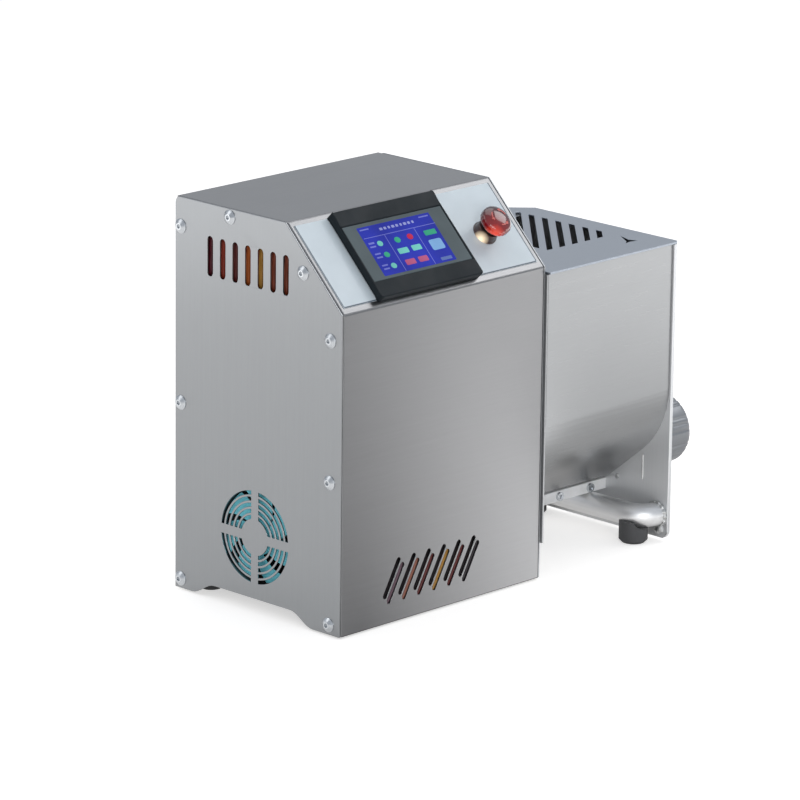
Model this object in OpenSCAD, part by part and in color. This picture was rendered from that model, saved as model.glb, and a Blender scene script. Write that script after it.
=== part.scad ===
// Electric pasta maker: a sheet-metal housing with a sloped control panel, and beside it
// a mixing trough with an auger, an extrusion barrel, a ring nut and a die.
// Millimetres, +Z up, the control side faces -Y, and the trough is on the +X side.

/* [Housing] */
// Outside width of the housing
housing_w = 260; // [255:1:285]
// Outside depth of the housing
housing_d = 211; // [208:1:230]
// Height of the housing sheets
housing_h = 365; // [362:1:390]
// Rise and run of the 45 degree control slope
slope_rise = 71; // [70:1:78]
// Thickness of the housing sheets
sheet_t = 1.5; // [1.2:0.1:2]
// Gap between the lower edge of the sheets and the table
sheet_gap = 2; // [1.5:0.5:4]
// Width of the inner flanges that the side panels screw to
flange_w = 20; // [18:1:23]
// Rise of the arch in the lower edge of the side panels
arch_rise = 11.5; // [6:0.5:13]
// Radius of the upper rear corner of the side panels
panel_corner_r = 6; // [2:1:10]

/* [Base and feet] */
// Height of the base plate's underside above the table
base_z = 16; // [14:0.5:17]
// Thickness of the base plate
base_t = 2; // [1.5:0.5:2]
// Diameter of the housing's rubber feet
housing_foot_d = 22; // [18:1:24]
// Diameter of the rubber feet under the trough
trough_foot_d = 27.5; // [24:0.5:32]

/* [Panel screws] */
// Diameter of the domed screw heads
screw_head_d = 13.5; // [11:0.5:14]
// Height of the domed screw heads
screw_head_h = 3; // [2:0.5:4]
// Thread diameter of the panel screws
screw_d = 5; // [4:0.5:6]
// Diametral clearance of a screw hole
screw_clearance = 0.6; // [0.4:0.1:1]

/* [Vents] */
// Number of slots in the left panel
side_vent_count = 7; // [3:1:7]
// Pitch of the side slots
side_vent_pitch = 16; // [14:0.5:17]
// Height of a side slot
side_vent_h = 37; // [25:1:40]
// Width of a side slot
side_vent_w = 7; // [4:0.5:9]
// Number of pairs of slanted slots in the front panel
front_vent_count = 6; // [3:1:7]
// Pitch of the front slot pairs
front_vent_pitch = 19.4; // [15:0.1:21]
// Length of a front slot
front_vent_l = 40; // [25:1:42]
// Width of a front slot
front_vent_w = 5; // [3:0.5:5.5]
// Bar between the two slots of a pair
front_vent_gap = 1.9; // [1.5:0.1:2.5]
// How far the second slot of a pair sits below the first, along the slot
front_vent_step = 2.5; // [0:0.5:5]
// Lean of the front slots from the vertical
front_vent_lean = 29; // [0:1:31]

/* [Cooling fan] */
// Side of the square fan frame
fan_size = 92; // [80:1:92]
// Depth of the fan frame
fan_depth = 25; // [20:1:28]
// Height of the fan centre above the sheets' lower edge
fan_z = 69; // [66:1:80]
// Distance of the fan centre behind the front panel
fan_y = 108; // [80:1:115]
// Radius of the outer ring slot of the grille
grille_r = 43; // [36:1:43]
// Number of ring slots
grille_rings = 5; // [3:1:5]
// Width of a ring slot
grille_slot = 3.6; // [3:0.1:4]
// Pitch of the ring slots
grille_pitch = 5.6; // [5:0.1:6]
// Width of the four grille spokes
spoke_w = 9; // [5:0.5:12]
// Number of fan blades
blade_count = 7; // [5:1:9]

/* [Control slope] */
// Width of the touch screen's bezel
bezel_w = 129; // [120:1:135]
// Height of the bezel along the slope
bezel_h = 92; // [88:1:94]
// Height of the bezel above the label
bezel_t = 8; // [6:0.5:10]
// Distance of the bezel's centre from the left panel
bezel_x = 111.5; // [80:0.5:115]
// Width of the screen glass
glass_w = 124; // [110:1:126]
// Height of the screen glass
glass_h = 58; // [50:1:70]
// Width of the screen's body behind the panel
screen_body_w = 118; // [100:1:119]
// Height of the screen's body behind the panel
screen_body_h = 82; // [70:1:84]
// Depth of the screen's body behind the panel
screen_body_depth = 34; // [25:1:40]
// Bare rim between the label and the housing's edge
label_margin = 6.5; // [5:0.5:10]
// Thickness of the label plate
label_t = 0.5; // [0.3:0.1:1]

/* [Emergency stop] */
// Distance of the stop button from the left panel
stop_x = 213.5; // [205:0.5:218]
// Diameter of the mounting hole
stop_hole_d = 22; // [20:0.5:24]
// Diameter of the mushroom head
stop_head_d = 30; // [28:1:40]
// Height of the mushroom head
stop_head_h = 13.5; // [10:0.5:16]
// Travel of the mushroom head
stop_travel = 4; // [3:0.5:5]

/* [Trough] */
// Inside length of the trough
trough_l = 169.4; // [160:1:190]
// Outside radius of the trough's upper chamber
chamber_r = 88; // [87:1:92]
// Outside radius of the auger channel
channel_r = 30; // [29:0.5:33]
// Thickness of the trough sheet
trough_t = 1.5; // [1.2:0.1:2]
// Distance of the trough's middle behind the front panel
trough_y = 85.6; // [84:0.2:92]
// Height of the auger axis above the table
auger_z = 77; // [76.5:0.5:82]
// Height of the chamber's centre above the auger axis
chamber_rise = 75; // [72:1:80]
// Height of the trough's rim above the table
rim_z = 288.6; // [286:0.2:300]
// Thickness of the end plate
end_plate_t = 4; // [3:0.5:5]
// Height of the end plate's lower edge above the table
end_plate_z = 3; // [2:0.5:5]
// Depth of the ledge behind the trough that carries the lid's hinge
ledge_d = 26; // [24:1:28]

/* [Lid] */
// Thickness of the lid
lid_t = 2; // [1.5:0.1:3]
// Length of the arrow-shaped hole in the lid
lid_arrow = 24; // [18:1:30]
// Gap between the lid and the rim
lid_gap = 0.3; // [0.3:0.1:1]
// Overhang of the lid past the end plate
lid_overhang = 3; // [1:0.5:5]
// Width of a lid slot
lid_slot_w = 5.2; // [4:0.1:6]
// Spacing of the diagonal lid slots along X
lid_slot_pitch = 17.2; // [14:0.1:20]
// Distance along X from the window's front right corner to the first slot
lid_slot_inset = 19.6; // [10:0.1:25]
// Length of the slotted window
lid_window_l = 92; // [70:1:110]
// Depth of the slotted window
lid_window_d = 122; // [90:1:122]
// Diameter of the hinge pin
hinge_pin_d = 3; // [2.5:0.5:4]
// Outside diameter of the hinge knuckles
knuckle_d = 6; // [5.5:0.5:7]
// Radial clearance of the hinge pin in the lid's knuckles
pin_clearance = 0.05; // [0.05:0.01:0.1]

/* [Auger and mixer] */
// Radial clearance between the auger's flight and the barrel
auger_clearance = 0.5; // [0.5:0.1:4]
// Diameter of the auger's core
auger_core_d = 24; // [22:1:30]
// Pitch of the auger's flight
auger_pitch = 36; // [28:1:45]
// Thickness of the flight
flight_t = 3; // [2:0.5:5]
// Sweep radius of the mixer paddles
paddle_r = 81; // [70:1:82]
// Diameter of the mixer shaft
mixer_shaft_d = 16; // [14:1:18]
// Number of mixer paddles
paddle_count = 4; // [2:1:5]

/* [Drive] */
// Diameter of the drive shaft
drive_shaft_d = 20; // [16:1:22]
// Teeth on the auger's gear
auger_teeth = 32; // [30:1:32]
// Teeth on the mixer's gear
mixer_teeth = 48; // [45:1:48]
// Face width of the gear pair
gear_face = 16; // [12:1:18]
// Thickness of each half of the gear case at its bearings
case_wall = 14; // [14:0.5:16]
// Thickness of the gear case's rim
case_rim = 4; // [3:0.5:4]
// Teeth on the two pinions
pinion_teeth = 12; // [12:1:14]
// Teeth on the two reduction wheels
wheel_teeth = 48; // [45:1:48]
// Diameter of the motor
motor_d = 96; // [84:1:98]
// Length of the motor
motor_l = 104; // [90:1:110]
// Diameter of the motor shaft
motor_shaft_d = 12; // [10:1:13]
// Backlash between meshing teeth
backlash = 0.5; // [0.4:0.1:0.7]

/* [Barrel and die] */
// Length of the barrel past the end plate
barrel_l = 79.6; // [60:0.5:100]
// Outside diameter of the barrel
barrel_d = 57; // [56:0.5:60]
// Wall of the barrel
barrel_wall = 4.5; // [3.5:0.1:4.5]
// Wall of the ring nut around the barrel
nut_wall = 5.4; // [5:0.1:9]
// Clearance of the nut's thread on the barrel
nut_fit = 0.1; // [0.1:0.05:0.2]
// Length of the ring nut
nut_l = 32; // [28:1:40]
// Pitch of the nut's thread
thread_pitch = 3; // [2:0.5:4]
// Thickness of the die
die_t = 10; // [8:1:12]
// Number of holes in the die
die_hole_count = 6; // [4:1:7]
// Diameter of the die's holes
die_hole_d = 8; // [5:0.5:9]

/* [Trough support] */
// Outside diameter of the support tube
tube_d = 22; // [20:0.5:24]
// Wall of the support tube
tube_wall = 1.5; // [1:0.1:2.5]
// Height of the tube's axis above the table
tube_z = 25.5; // [25:0.5:28]
// Bend radius of the tube's centre line
tube_bend_r = 19.4; // [17:0.2:24]
// Depth of the tube's front end behind the front panel
tube_end_y = 9.4; // [8:0.2:14]
// Thickness of the flat bar under the trough
bar_t = 6; // [4:0.5:8]

/* [Hidden] */
$fn = 64;
SEAT = 0.3;          // gap where a part rests on another body
SHAFT_FIT = 0.05;    // radial running fit of shafts
OVERLAP = 0.5;       // depth that joined shapes share inside one solid
TANGENT_INSET = 0.02; // how far inside its arcs a straight flank runs

// Housing
top_z = sheet_gap + housing_h;
slope_foot_z = top_z - slope_rise;
slope_len = slope_rise * sqrt(2);
right_x = housing_w - sheet_t;
back_y = housing_d - sheet_t;
inner_top_z = top_z - sheet_t;
base_top_z = base_z + base_t;
foot_places = [for (x = [26, housing_w - 26], y = [18, housing_d - 20]) [x, y]];
front_vent_x = housing_w / 2 - 15.7;
front_vent_z = sheet_gap + 41.3;

// Trough and drive places
back_plate_t = 2;
shell_x0 = housing_w + back_plate_t;
shell_x1 = shell_x0 + trough_l;
end_x = shell_x1 + end_plate_t;
chamber_z = auger_z + chamber_rise;
trough_front_y = trough_y - chamber_r;
trough_rear_y = trough_y + chamber_r;
plate_lip = 2;
gear_module = 3;
gear_distance = gear_module * (auger_teeth + mixer_teeth) / 2;
mixer_z = auger_z + gear_distance;
gear_gap = 3;
cover_x0 = right_x - case_wall;
gear_x0 = cover_x0 - gear_gap - gear_face;
case_x1 = gear_x0 - gear_gap;
case_x0 = case_x1 - case_wall;
case_r = gear_module * (mixer_teeth + 2) / 2 + 2.5;
case_small_r = gear_module * (auger_teeth + 2) / 2 + 2.5;

// Reduction gears
reduction_module = 1.5;
reduction_distance = reduction_module * (pinion_teeth + wheel_teeth) / 2;
lay_y = trough_y + reduction_distance;
wheel_face = 9;
reduction_wall = 5;
out_wheel_x0 = case_x0 - 2 - wheel_face;
lay_pinion_x0 = out_wheel_x0 - 1;
lay_wheel_x0 = lay_pinion_x0 - 1.5 - wheel_face;
reduction_x0 = lay_wheel_x0 - 2 - reduction_wall;
reduction_r = reduction_module * (wheel_teeth + 2) / 2 + 2;
lay_shaft_d = 10;
motor_x1 = reduction_x0;
motor_x0 = motor_x1 - motor_l;
motor_wall = 3;
bell_l = 12;
motor_bearing_w = 8;
motor_bearing_d = motor_shaft_d + 16;

// Bearings and seals
bearing_w = 14;
drive_bearing_d = drive_shaft_d + 27;
mixer_bearing_d = mixer_shaft_d + 19;
seal_ring = 6;

// Barrel, die and nut
barrel_x1 = end_x + barrel_l;
barrel_bore = barrel_d - 2 * barrel_wall;
auger_d = barrel_bore - 2 * auger_clearance;
nut_bore = barrel_d + 2 * nut_fit;
nut_d = nut_bore + 2 * nut_wall;
barrel_flange_r = barrel_d / 2 + 13;
barrel_flange_t = 6;
barrel_bolt_r = barrel_d / 2 + 7.5;
die_x0 = barrel_x1 + SEAT;
die_x1 = die_x0 + die_t;
die_r = barrel_d / 2 - 2;
nut_lip = 4;
nut_mouth_r = die_r - 3.5;
die_rim = 4.5;         // from the nut's mouth to the die's holes
die_ring_r = nut_mouth_r - die_rim - die_hole_d / 2;
thread_depth = 0.5;
nut_x1 = die_x1 + SEAT + nut_lip;
nut_x0 = nut_x1 - nut_l;

// Lid and hinge
lid_z0 = rim_z + lid_gap;
lid_x0 = housing_w + 1.5;
lid_x1 = end_x + lid_overhang;
lid_front_y = trough_front_y - plate_lip - 0.6;
lid_rear_y = trough_rear_y + ledge_d + 2;
hinge_y = lid_rear_y + knuckle_d / 2;
hinge_z = lid_z0 + lid_t - knuckle_d / 2;
knuckle_l = 16;
knuckle_gap = 0.4;
leaf_t = 1.2;
hinge_leaf_z = rim_z - trough_t;
lid_window_x1 = end_x - 21.5;
lid_window_x0 = lid_window_x1 - lid_window_l;
lid_window_y0 = trough_front_y + 57.5;

// Rear socket
inlet_x = 60;
inlet_z = 150;
inlet_proud = 3;
inlet_w = 27.5;
inlet_h = 58;
socket_z = -14;
rocker_z = 15;
rocker_w = 21;
rocker_half = 12;
rocker_tilt = 8;
rocker_depth = 7.5;   // of the rocker's pivot below the inlet's face

// The origin lies below the middle of the whole machine
mid_x = (nut_x1 - screw_head_h) / 2;
mid_y = (lid_front_y + housing_d + inlet_proud) / 2;

// Screw places on the side panels, as [y, z]
rear_margin = 7;
front_margin = 14;
low_screws = [[front_margin, sheet_gap + 9], [housing_d - rear_margin, sheet_gap + 9]];
rear_screws = [[housing_d - rear_margin, sheet_gap + 175], [housing_d - rear_margin, top_z - 26.6]];
top_screw = [(housing_d + slope_rise) / 2, top_z - 7.5];
slope_screw = [slope_rise / 2 + 13, slope_foot_z + slope_rise / 2 - 6];
front_screws = [[front_margin, slope_foot_z - 25], [front_margin, sheet_gap + 140]];
left_screws = concat(low_screws, rear_screws, front_screws, [top_screw, slope_screw]);
right_screws = concat(low_screws, rear_screws, [top_screw, slope_screw]);

// Studs of the trough's back plate, as [y, z]
stud_d = 6;
stud_inset = 12;
studs = [for (y = [trough_front_y + stud_inset + 2.5, trough_rear_y - stud_inset])
  for (z = [auger_z - channel_r - 2, rim_z - stud_inset - 4]) [y, z]];
stud_l = 14;
stud_nut_h = 5;

// Helpers -----------------------------------------------------------------

module place() translate([-mid_x, -mid_y, 0]) children();

// A flat shape drawn in Y and Z, extruded from x0 to x1
module along_x(x0, x1) translate([x0, 0, 0]) rotate([90, 0, 90]) linear_extrude(x1 - x0) children();

// A flat shape drawn in X and Z, extruded from y0 to y1
module along_y(y0, y1) translate([0, y1, 0]) rotate([90, 0, 0]) linear_extrude(y1 - y0) children();

module rod_x(d, x0, x1, y, z) translate([x0, y, z]) rotate([0, 90, 0]) cylinder(d = d, h = x1 - x0);

module rod_y(d, y0, y1, x, z) translate([x, y1, z]) rotate([90, 0, 0]) cylinder(d = d, h = y1 - y0);

module box(x0, x1, y0, y1, z0, z1) translate([x0, y0, z0]) cube([x1 - x0, y1 - y0, z1 - z0]);

// The slope's own frame: x along the housing, y up the slope, z outwards
module on_slope() translate([0, 0, slope_foot_z]) rotate([45, 0, 0]) children();

// A slot with round ends, standing on the Y axis of its own frame
module slot2d(w, l) {
  square([w, l - w], center = true);
  for (s = [-1, 1]) translate([0, s * (l - w) / 2]) circle(d = w, $fn = 24);
}

module rounded2d(w, h, r) {
  square([w - 2 * r, h], center = true);
  square([w, h - 2 * r], center = true);
  for (x = [-1, 1], y = [-1, 1]) translate([x * (w / 2 - r), y * (h / 2 - r)]) circle(r = r, $fn = 32);
}

// Two circles one above the other with straight sides between them, drawn about [y, 0]
module tapered2d(y, low_z, low_r, high_z, high_r) {
  lean = asin((high_r - low_r) / (high_z - low_z));
  flank = [for (c = [[low_z, low_r - TANGENT_INSET], [high_z, high_r - TANGENT_INSET]])
    [c[1] * cos(lean), c[0] - c[1] * sin(lean)]];
  translate([y, low_z]) circle(r = low_r);
  translate([y, high_z]) circle(r = high_r);
  polygon([[y - flank[0][0], flank[0][1]], [y + flank[0][0], flank[0][1]],
    [y + flank[1][0], flank[1][1]], [y - flank[1][0], flank[1][1]]]);
}

// Side view of the housing, drawn inwards by inset
module housing2d(inset, z0) {
  slope_shift = inset * (sqrt(2) - 1);
  polygon([[inset, z0], [inset, slope_foot_z - slope_shift], [slope_rise + slope_shift, top_z - inset],
    [housing_d - inset, top_z - inset], [housing_d - inset, z0]]);
}

// Half of a smooth step, as points from [0, 0] to [run, rise]
function s_curve(y0, z0, run, rise, steps) =
  [for (i = [0:steps]) [y0 + run * i / steps, z0 + rise * (1 - cos(180 * i / steps)) / 2]];

// Involute gear outline: points of one tooth at angle a, from root to root
function involute(r, t) = let (a = t * 180 / PI) [r * (cos(a) + t * sin(a)), r * (sin(a) - t * cos(a))];
function roll_at(base_r, r) = sqrt(max(0, (r / base_r) * (r / base_r) - 1));
function spin2(p, a) = [p[0] * cos(a) - p[1] * sin(a), p[0] * sin(a) + p[1] * cos(a)];
function flank(base_r, r, half_base) = spin2(involute(base_r, roll_at(base_r, r)), -half_base);
function tooth(m, n, a) = let (
    pitch_r = m * n / 2, base_r = pitch_r * cos(20), tip_r = pitch_r + 0.92 * m, root_r = pitch_r - 1.25 * m,
    pitch_roll = roll_at(base_r, pitch_r),
    half_base = 90 / n - backlash / 4 / pitch_r * 180 / PI + (pitch_roll * 180 / PI - atan(pitch_roll)),
    low_r = max(base_r, root_r), root_half = half_base,
    right = [for (i = [0:3]) flank(base_r, low_r + (tip_r - low_r) * i / 3, half_base)])
  concat([spin2([root_r, 0], a - root_half)], [for (p = right) spin2(p, a)],
    [for (i = [3:-1:0]) spin2([right[i][0], -right[i][1]], a)], [spin2([root_r, 0], a + root_half)]);

module gear2d(m, n, phase) {
  polygon([for (i = [0:n - 1]) each tooth(m, n, phase + 360 * i / n)]);
}

module gear(m, n, phase, x0, x1, y, z) {
  translate([x0, y, z]) rotate([90, 0, 90]) linear_extrude(x1 - x0) gear2d(m, n, phase);
}

// Housing -----------------------------------------------------------------

module side_outline() {
  run = (housing_d - 2 * 34) / 5;
  front = s_curve(34, sheet_gap, run, arch_rise, 8);
  rear = s_curve(housing_d - 22 - run, sheet_gap + arch_rise, run, -arch_rise, 8);
  difference() {
    polygon(concat([[0, sheet_gap]], front, rear, [[housing_d, sheet_gap], [housing_d, top_z],
      [slope_rise, top_z], [0, slope_foot_z]]));
    translate([housing_d - panel_corner_r, top_z - panel_corner_r]) difference() {
      square(panel_corner_r + 1);
      circle(r = panel_corner_r);
    }
  }
}

module grille2d() {
  intersection() {
    for (i = [0:grille_rings - 1]) difference() {
      circle(r = grille_r - i * grille_pitch);
      circle(r = grille_r - i * grille_pitch - grille_slot);
    }
    for (sy = [-1, 1], sz = [-1, 1]) scale([sy, sz]) translate([spoke_w / 2, spoke_w / 2]) square(grille_r);
  }
}

module screw_holes2d(places) {
  for (p = places) translate(p) circle(d = screw_d + screw_clearance, $fn = 32);
}

module left_side_panel() color("silver") place() along_x(0, sheet_t) difference() {
  side_outline();
  screw_holes2d(left_screws);
  for (i = [0:side_vent_count - 1])
    translate([housing_d - 45 - i * side_vent_pitch, top_z - 29 - side_vent_h / 2])
      slot2d(side_vent_w, side_vent_h);
  translate([fan_y, sheet_gap + fan_z]) grille2d();
}

module right_side_panel() color("silver") place() along_x(right_x, housing_w) difference() {
  side_outline();
  screw_holes2d(right_screws);
  for (p = studs) translate(p) circle(d = stud_d + screw_clearance, $fn = 32);
  translate([trough_y, auger_z]) circle(d = drive_shaft_d + 2 * seal_ring);
  translate([trough_y, mixer_z]) circle(d = mixer_shaft_d + 2 * seal_ring);
}

module wrap_cover() color("lightgray") place() difference() {
  union() {
    along_x(sheet_t, right_x) difference() {
      housing2d(0, sheet_gap);
      housing2d(sheet_t, sheet_gap - 1);
      translate([back_y, sheet_gap - 1]) square([sheet_t + 1, inner_top_z - sheet_gap + 1]);
    }
    for (x = [sheet_t, right_x - sheet_t]) along_x(x, x + sheet_t) difference() {
      housing2d(sheet_t / 2, base_top_z + SEAT);
      housing2d(flange_w, 0);
      translate([back_y - flange_w - 1, 0]) square([flange_w * 2, top_z]);
      if (x > sheet_t) case2d(case_rim + 1);
    }
  }
  for (x = [0, right_x - 2 * sheet_t]) along_x(x, x + 3 * sheet_t) screw_holes2d(
    concat(front_screws, [top_screw, slope_screw]));
  along_x(right_x - 2 * sheet_t, right_x + 1) for (p = studs) translate(p)
    circle(d = stud_d + screw_clearance, $fn = 32);
  along_y(-1, sheet_t + 1) for (i = [0:front_vent_count - 1])
    translate([front_vent_x + (i - (front_vent_count - 1) / 2) * front_vent_pitch, front_vent_z])
      rotate(-front_vent_lean) for (twin = [0, 1])
        translate([twin * (front_vent_w + front_vent_gap), -twin * front_vent_step])
          slot2d(front_vent_w, front_vent_l);
  on_slope() {
    translate([bezel_x - screen_body_w / 2 - 0.5, (slope_len - screen_body_h) / 2 - 0.5, -20])
      cube([screen_body_w + 1, screen_body_h + 1, 40]);
    translate([stop_x, slope_len / 2 - 4, -20]) cylinder(d = stop_hole_d + 0.4, h = 40);
  }
}

module rear_panel() color("silver") place() difference() {
  union() {
    box(sheet_t, right_x, back_y, housing_d, base_z, inner_top_z);
    for (x = [sheet_t, right_x - sheet_t])
      box(x, x + sheet_t, back_y - flange_w, back_y + OVERLAP, base_top_z + SEAT, inner_top_z);
  }
  for (x = [0, right_x - 2 * sheet_t]) along_x(x, x + 3 * sheet_t) screw_holes2d(rear_screws);
  along_y(back_y - 1, housing_d + 1) {
    translate([inlet_x, inlet_z]) square([inlet_w, inlet_h], center = true);
    for (i = [0:6], j = [0:2]) translate([housing_w - 45 - i * 14, top_z - 90 - j * 50]) slot2d(5, 36);
  }
}

module base_plate() color("gray") place() difference() {
  union() {
    box(sheet_t, right_x, sheet_t, back_y, base_z, base_top_z);
    for (x = [sheet_t, right_x - base_t], y = [[4, 32], [back_y - 26, back_y - 2]])
      box(x, x + base_t, y[0], y[1], sheet_gap + 2, base_z + OVERLAP);
  }
  for (x = [0, right_x - base_t - 1]) along_x(x, x + base_t + 3) screw_holes2d(low_screws);
  for (p = foot_places) translate([p[0], p[1], base_z - 1]) cylinder(d = 5.6, h = base_t + 2, $fn = 32);
  for (i = [0:5]) box(90 + i * 14, 96 + i * 14, 60, 140, base_z - 1, base_top_z + 1);
}

// The dome runs from the head's edge to a small flat of radius dome_flat around the recess
dome_edge = 0.6;
dome_flat = 3;
dome_centre = (dome_flat * dome_flat + screw_head_h * screw_head_h - dome_edge * dome_edge
  - screw_head_d * screw_head_d / 4) / 2 / (screw_head_h - dome_edge);

// Domed screws in the left panel
module side_panel_screws() color("whitesmoke") place() for (p = left_screws) translate([0, p[0], p[1]]) {
  rotate([0, -90, 0]) difference() {
    intersection() {
      cylinder(d = screw_head_d, h = screw_head_h);
      translate([0, 0, dome_centre]) sphere(r = norm([screw_head_d / 2, dome_edge - dome_centre]), $fn = 96);
    }
    translate([0, 0, screw_head_h - 1.8]) cylinder(d = 4.6, h = 3, $fn = 6);
  }
  translate([-OVERLAP, 0, 0]) rotate([0, 90, 0]) cylinder(d = screw_d, h = 10 + OVERLAP);
}

// Countersunk screws that lie flush in the right panel
module flush_panel_screws() color("whitesmoke") place() for (p = right_screws)
  translate([housing_w, p[0], p[1]]) rotate([0, -90, 0]) cylinder(d = screw_d, h = 10);

module rivet_nut(x0) {
  rotate([0, 90, 0]) translate([0, 0, x0]) difference() {
    cylinder(d = screw_d + 4, h = 8);
    translate([0, 0, -1]) cylinder(d = screw_d + 2 * SHAFT_FIT, h = 10);
  }
}

// Threaded inserts behind the flanges and in the base plate's corners
module panel_rivet_nuts() color("goldenrod") place() {
  for (p = concat(rear_screws, front_screws, [top_screw, slope_screw]))
    translate([0, p[0], p[1]]) rivet_nut(2 * sheet_t);
  for (p = low_screws) translate([0, p[0], p[1]]) rivet_nut(sheet_t + base_t);
  for (p = concat(rear_screws, [top_screw, slope_screw]))
    translate([housing_w, p[0], p[1]]) mirror([1, 0, 0]) rivet_nut(2 * sheet_t);
  for (p = low_screws) translate([housing_w, p[0], p[1]]) mirror([1, 0, 0]) rivet_nut(sheet_t + base_t);
}

module housing_feet() color([0.1, 0.1, 0.1]) place() for (p = foot_places) translate([p[0], p[1], 0])
  difference() {
    cylinder(d1 = housing_foot_d - 3, d2 = housing_foot_d, h = base_z);
    translate([0, 0, -1]) cylinder(d = 10, h = 7);
    cylinder(d = 5, h = base_z + 1);
  }

module housing_foot_screws() color("silver") place() for (p = foot_places) translate([p[0], p[1], 0]) {
  translate([0, 0, 3]) cylinder(d = 9, h = 3);
  translate([0, 0, 5]) cylinder(d = 4.8, h = base_top_z - 5 + 3);
  translate([0, 0, base_top_z]) cylinder(d = 9, h = 4, $fn = 6);
}

// Control slope -----------------------------------------------------------

module control_label() color("aliceblue") place() on_slope() difference() {
  translate([label_margin, label_margin, 0])
    cube([housing_w - 2 * label_margin, slope_len - 2 * label_margin + 1, label_t]);
  translate([bezel_x - screen_body_w / 2 - 0.5, (slope_len - screen_body_h) / 2 - 0.5, -1])
    cube([screen_body_w + 1, screen_body_h + 1, 4]);
  translate([stop_x, slope_len / 2 - 4, -1]) cylinder(d = stop_hole_d + 0.4, h = 4);
}

module screen_bezel() color([0.15, 0.2, 0.23]) place() on_slope() translate([bezel_x, slope_len / 2, label_t])
  difference() {
    linear_extrude(bezel_t) rounded2d(bezel_w, bezel_h, 3);
    translate([0, 0, bezel_t - 3]) linear_extrude(4) square([glass_w, glass_h], center = true);
    translate([0, 0, -1]) linear_extrude(bezel_t) square([glass_w - 8, glass_h - 6], center = true);
  }

module screen_glass() color([0.16, 0.16, 0.75]) place() on_slope()
  translate([bezel_x - glass_w / 2 + 0.1, (slope_len - glass_h) / 2 + 0.1, label_t + bezel_t - 3])
    cube([glass_w - 0.2, glass_h - 0.2, 2.4]);

module screen_body() color([0.2, 0.2, 0.2]) place() on_slope() translate([bezel_x, slope_len / 2, label_t])
  difference() {
    translate([0, 0, -screen_body_depth]) linear_extrude(screen_body_depth)
      square([screen_body_w, screen_body_h], center = true);
    for (i = [-3:3]) translate([i * 12 - 2, -25, -screen_body_depth - 1]) cube([4, 50, 3]);
  }

// Screw clamps that pull the screen against the slope from behind
module screen_clamps() color("dimgray") place() on_slope() translate([bezel_x, slope_len / 2, -sheet_t])
  for (sx = [-1, 1], sy = [-1, 1]) translate([sx * (screen_body_w / 2), sy * 22, 0]) scale([sx, 1, 1]) {
    translate([0, -5, -20]) cube([8, 10, 6]);
    translate([4.5, 0, -26]) cylinder(d = 4, h = 26);
  }

module at_stop() translate([stop_x, slope_len / 2 - 4, label_t]) children();

collar_top = 9;
stop_head_z = collar_top + stop_travel + SEAT + 0.2;

module stop_collar() color("lightyellow") place() on_slope() at_stop() difference() {
  union() {
    cylinder(d = stop_hole_d + 5, h = 3);
    translate([0, 0, -14 - label_t - sheet_t])
      cylinder(d = stop_hole_d, h = 14 + label_t + sheet_t + collar_top);
  }
  translate([0, 0, -30]) cylinder(d = stop_hole_d - 6, h = 60);
}

module stop_locknut() color("dimgray") place() on_slope() at_stop()
  translate([0, 0, -label_t - sheet_t - 5]) difference() {
    cylinder(d = stop_hole_d + 8, h = 5);
    translate([0, 0, -1]) cylinder(d = stop_hole_d + 0.1, h = 7);
  }

module stop_contact_block() color([0.15, 0.15, 0.15]) place() on_slope() at_stop()
  translate([0, 0, -38]) difference() {
    translate([-14, -14, 0]) cube([28, 28, 38 - 14 - label_t - sheet_t]);
    translate([0, 0, 12]) cylinder(d = stop_hole_d - 6, h = 20);
  }

module stop_plunger() color([0.7, 0.7, 0.7]) place() on_slope() at_stop() {
  translate([0, 0, -18]) cylinder(d = stop_hole_d - 7, h = 18 + stop_head_z + 3);
}

module stop_head() color([0.8, 0.05, 0.03]) place() on_slope() at_stop() translate([0, 0, stop_head_z])
  difference() {
    rotate_extrude() union() {
      square([stop_head_d / 2 - 4, stop_head_h]);
      translate([0, 3]) square([stop_head_d / 2, stop_head_h - 8]);
      polygon([[0, 0], [stop_head_d / 2 - 4, 0], [stop_head_d / 2, 3.01], [0, 3.01]]);
      translate([0, stop_head_h - 5]) intersection() {
        scale([1, 5 / (stop_head_d / 2)]) circle(r = stop_head_d / 2);
        square(stop_head_d);
      }
    }
    translate([0, 0, -1]) cylinder(d = stop_hole_d - 7 + 2 * SHAFT_FIT, h = 4 + SEAT);
  }

// Cooling fan -------------------------------------------------------------

fan_bore = fan_size - 4;
fan_hole_at = fan_size / 2 - 4.75;
fan_stud_d = 4;

module fan_frame() color([0.12, 0.12, 0.13]) place() translate([sheet_t, fan_y, sheet_gap + fan_z])
  rotate([90, 0, 90]) difference() {
    linear_extrude(fan_depth) difference() {
      rounded2d(fan_size, fan_size, 4);
      for (y = [-1, 1], z = [-1, 1]) translate([y, z] * fan_hole_at) circle(d = fan_stud_d + 0.4, $fn = 32);
    }
    difference() {
      translate([0, 0, -1]) cylinder(d = fan_bore, h = fan_depth + 2);
      translate([0, 0, fan_depth - 4]) cylinder(d = 36, h = 4);
      for (a = [45, 135]) rotate([0, 0, a]) translate([0, 0, fan_depth - 2])
        cube([fan_size + 4, 5, 4], center = true);
    }
    translate([0, 0, fan_depth - 5]) cylinder(d = 4 + 2 * SHAFT_FIT, h = 3);
  }

// One blade: a strip that twists from the hub to the tip
module fan_blade() {
  for (i = [0:4]) rotate([0, 0, 2 * i]) translate([17 + 5 * i, 0, 0]) rotate([50 - 5 * i, 0, 0])
    cube([6.5, 2, 16 + i], center = true);
}

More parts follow.
